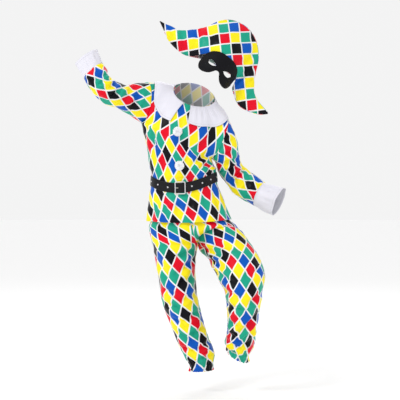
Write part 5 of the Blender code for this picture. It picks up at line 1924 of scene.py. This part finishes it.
class CostumeSettings(bpy.types.PropertyGroup):
    """Sizes and colours that someone dressing the costume would change."""

    red: FloatVectorProperty(
        name="Red", description="Red diamonds", subtype="COLOR", default=(0.78, 0.001, 0.018)
    )
    yellow: FloatVectorProperty(
        name="Yellow", description="Yellow diamonds", subtype="COLOR", default=(1.0, 0.84, 0.012)
    )
    blue: FloatVectorProperty(
        name="Blue", description="Blue diamonds", subtype="COLOR", default=(0.0, 0.095, 0.5)
    )
    green: FloatVectorProperty(
        name="Green", description="Green diamonds", subtype="COLOR", default=(0.012, 0.38, 0.25)
    )
    black: FloatVectorProperty(
        name="Black", description="Black diamonds", subtype="COLOR", default=(0.002, 0.002, 0.005)
    )
    line_colour: FloatVectorProperty(
        name="Line colour",
        description="Line between the diamonds",
        subtype="COLOR",
        default=(0.86, 0.86, 0.88),
    )
    floor_colour: FloatVectorProperty(
        name="Floor colour", description="Plain studio floor", subtype="COLOR", default=(0.92, 0.92, 0.92)
    )
    line_width: FloatProperty(
        name="Line width", description="Width of the line between diamonds", default=LINE_WIDTH, unit="LENGTH"
    )
    crease_strength: FloatProperty(
        name="Creases", description="How deep the creases are", default=1.7, min=0, max=2, subtype="FACTOR"
    )
    pompom_strands: IntProperty(
        name="Pompom strands", description="Strands of yarn in each pompom", default=1500, min=100
    )
    surround: FloatProperty(name="Surround", description="Strength of the white surround", default=0.9, min=0)


class COSTUME_OT_tunic(bpy.types.Operator):
    """Lay the tunic's front and back in printed satin"""

    bl_idname = "costume.tunic"
    bl_label = "Tunic"

    def execute(self, context):
        build_tunic()
        return {"FINISHED"}


class COSTUME_OT_sleeves(bpy.types.Operator):
    """Lay both sleeves in printed satin"""

    bl_idname = "costume.sleeves"
    bl_label = "Sleeves"

    def execute(self, context):
        build_sleeves()
        return {"FINISHED"}


class COSTUME_OT_cuffs(bpy.types.Operator):
    """Lay both cuffs in white satin"""

    bl_idname = "costume.cuffs"
    bl_label = "Cuffs"

    def execute(self, context):
        build_cuffs()
        return {"FINISHED"}


class COSTUME_OT_collar(bpy.types.Operator):
    """Lay both halves of the gathered collar in white satin"""

    bl_idname = "costume.collar"
    bl_label = "Collar"

    def execute(self, context):
        build_collar()
        return {"FINISHED"}


class COSTUME_OT_trousers(bpy.types.Operator):
    """Lay the trouser legs and waistband in printed satin"""

    bl_idname = "costume.trousers"
    bl_label = "Trousers"

    def execute(self, context):
        build_trousers()
        return {"FINISHED"}


class COSTUME_OT_belt(bpy.types.Operator):
    """Fit the leather belt with its studs, buckle and prong"""

    bl_idname = "costume.belt"
    bl_label = "Belt"

    def execute(self, context):
        build_belt()
        return {"FINISHED"}


class COSTUME_OT_hat(bpy.types.Operator):
    """Lay the front and back of the horned hat in printed satin"""

    bl_idname = "costume.hat"
    bl_label = "Hat"

    def execute(self, context):
        build_hat()
        return {"FINISHED"}


class COSTUME_OT_mask(bpy.types.Operator):
    """Fit the half mask and its elastic"""

    bl_idname = "costume.mask"
    bl_label = "Mask"

    def execute(self, context):
        build_mask()
        build_elastic()
        return {"FINISHED"}


class COSTUME_OT_pompoms(bpy.types.Operator):
    """Wind both pompoms of white yarn"""

    bl_idname = "costume.pompoms"
    bl_label = "Pompoms"

    def execute(self, context):
        build_pompoms()
        return {"FINISHED"}


class COSTUME_OT_studio(bpy.types.Operator):
    """Set up the floor, the light and the camera"""

    bl_idname = "costume.studio"
    bl_label = "Studio"

    def execute(self, context):
        build_studio()
        return {"FINISHED"}


class COSTUME_PT_panel(bpy.types.Panel):
    """Lists the costume's pieces and settings in the sidebar."""

    bl_idname = "COSTUME_PT_panel"
    bl_label = "Harlequin Costume"
    bl_space_type = "VIEW_3D"
    bl_region_type = "UI"
    bl_category = "Costume"

    def draw(self, context):
        settings = context.scene.harlequin_costume
        for name in CostumeSettings.__annotations__:
            self.layout.prop(settings, name)
        for operator in OPERATORS:
            self.layout.operator(operator.bl_idname)


OPERATORS = (
    COSTUME_OT_tunic,
    COSTUME_OT_sleeves,
    COSTUME_OT_cuffs,
    COSTUME_OT_collar,
    COSTUME_OT_trousers,
    COSTUME_OT_belt,
    COSTUME_OT_hat,
    COSTUME_OT_mask,
    COSTUME_OT_pompoms,
    COSTUME_OT_studio,
)


def register():
    for item in (CostumeSettings, *OPERATORS, COSTUME_PT_panel):
        bpy.utils.register_class(item)
    bpy.types.Scene.harlequin_costume = PointerProperty(type=CostumeSettings)


def unregister():
    del bpy.types.Scene.harlequin_costume
    for item in (COSTUME_PT_panel, *reversed(OPERATORS), CostumeSettings):
        bpy.utils.unregister_class(item)


def main():
    register()
    bpy.ops.costume.tunic()
    bpy.ops.costume.sleeves()
    bpy.ops.costume.cuffs()
    bpy.ops.costume.collar()
    bpy.ops.costume.trousers()
    bpy.ops.costume.belt()
    bpy.ops.costume.hat()
    bpy.ops.costume.mask()
    bpy.ops.costume.pompoms()
    bpy.ops.costume.studio()


if __name__ == "__main__":
    main()
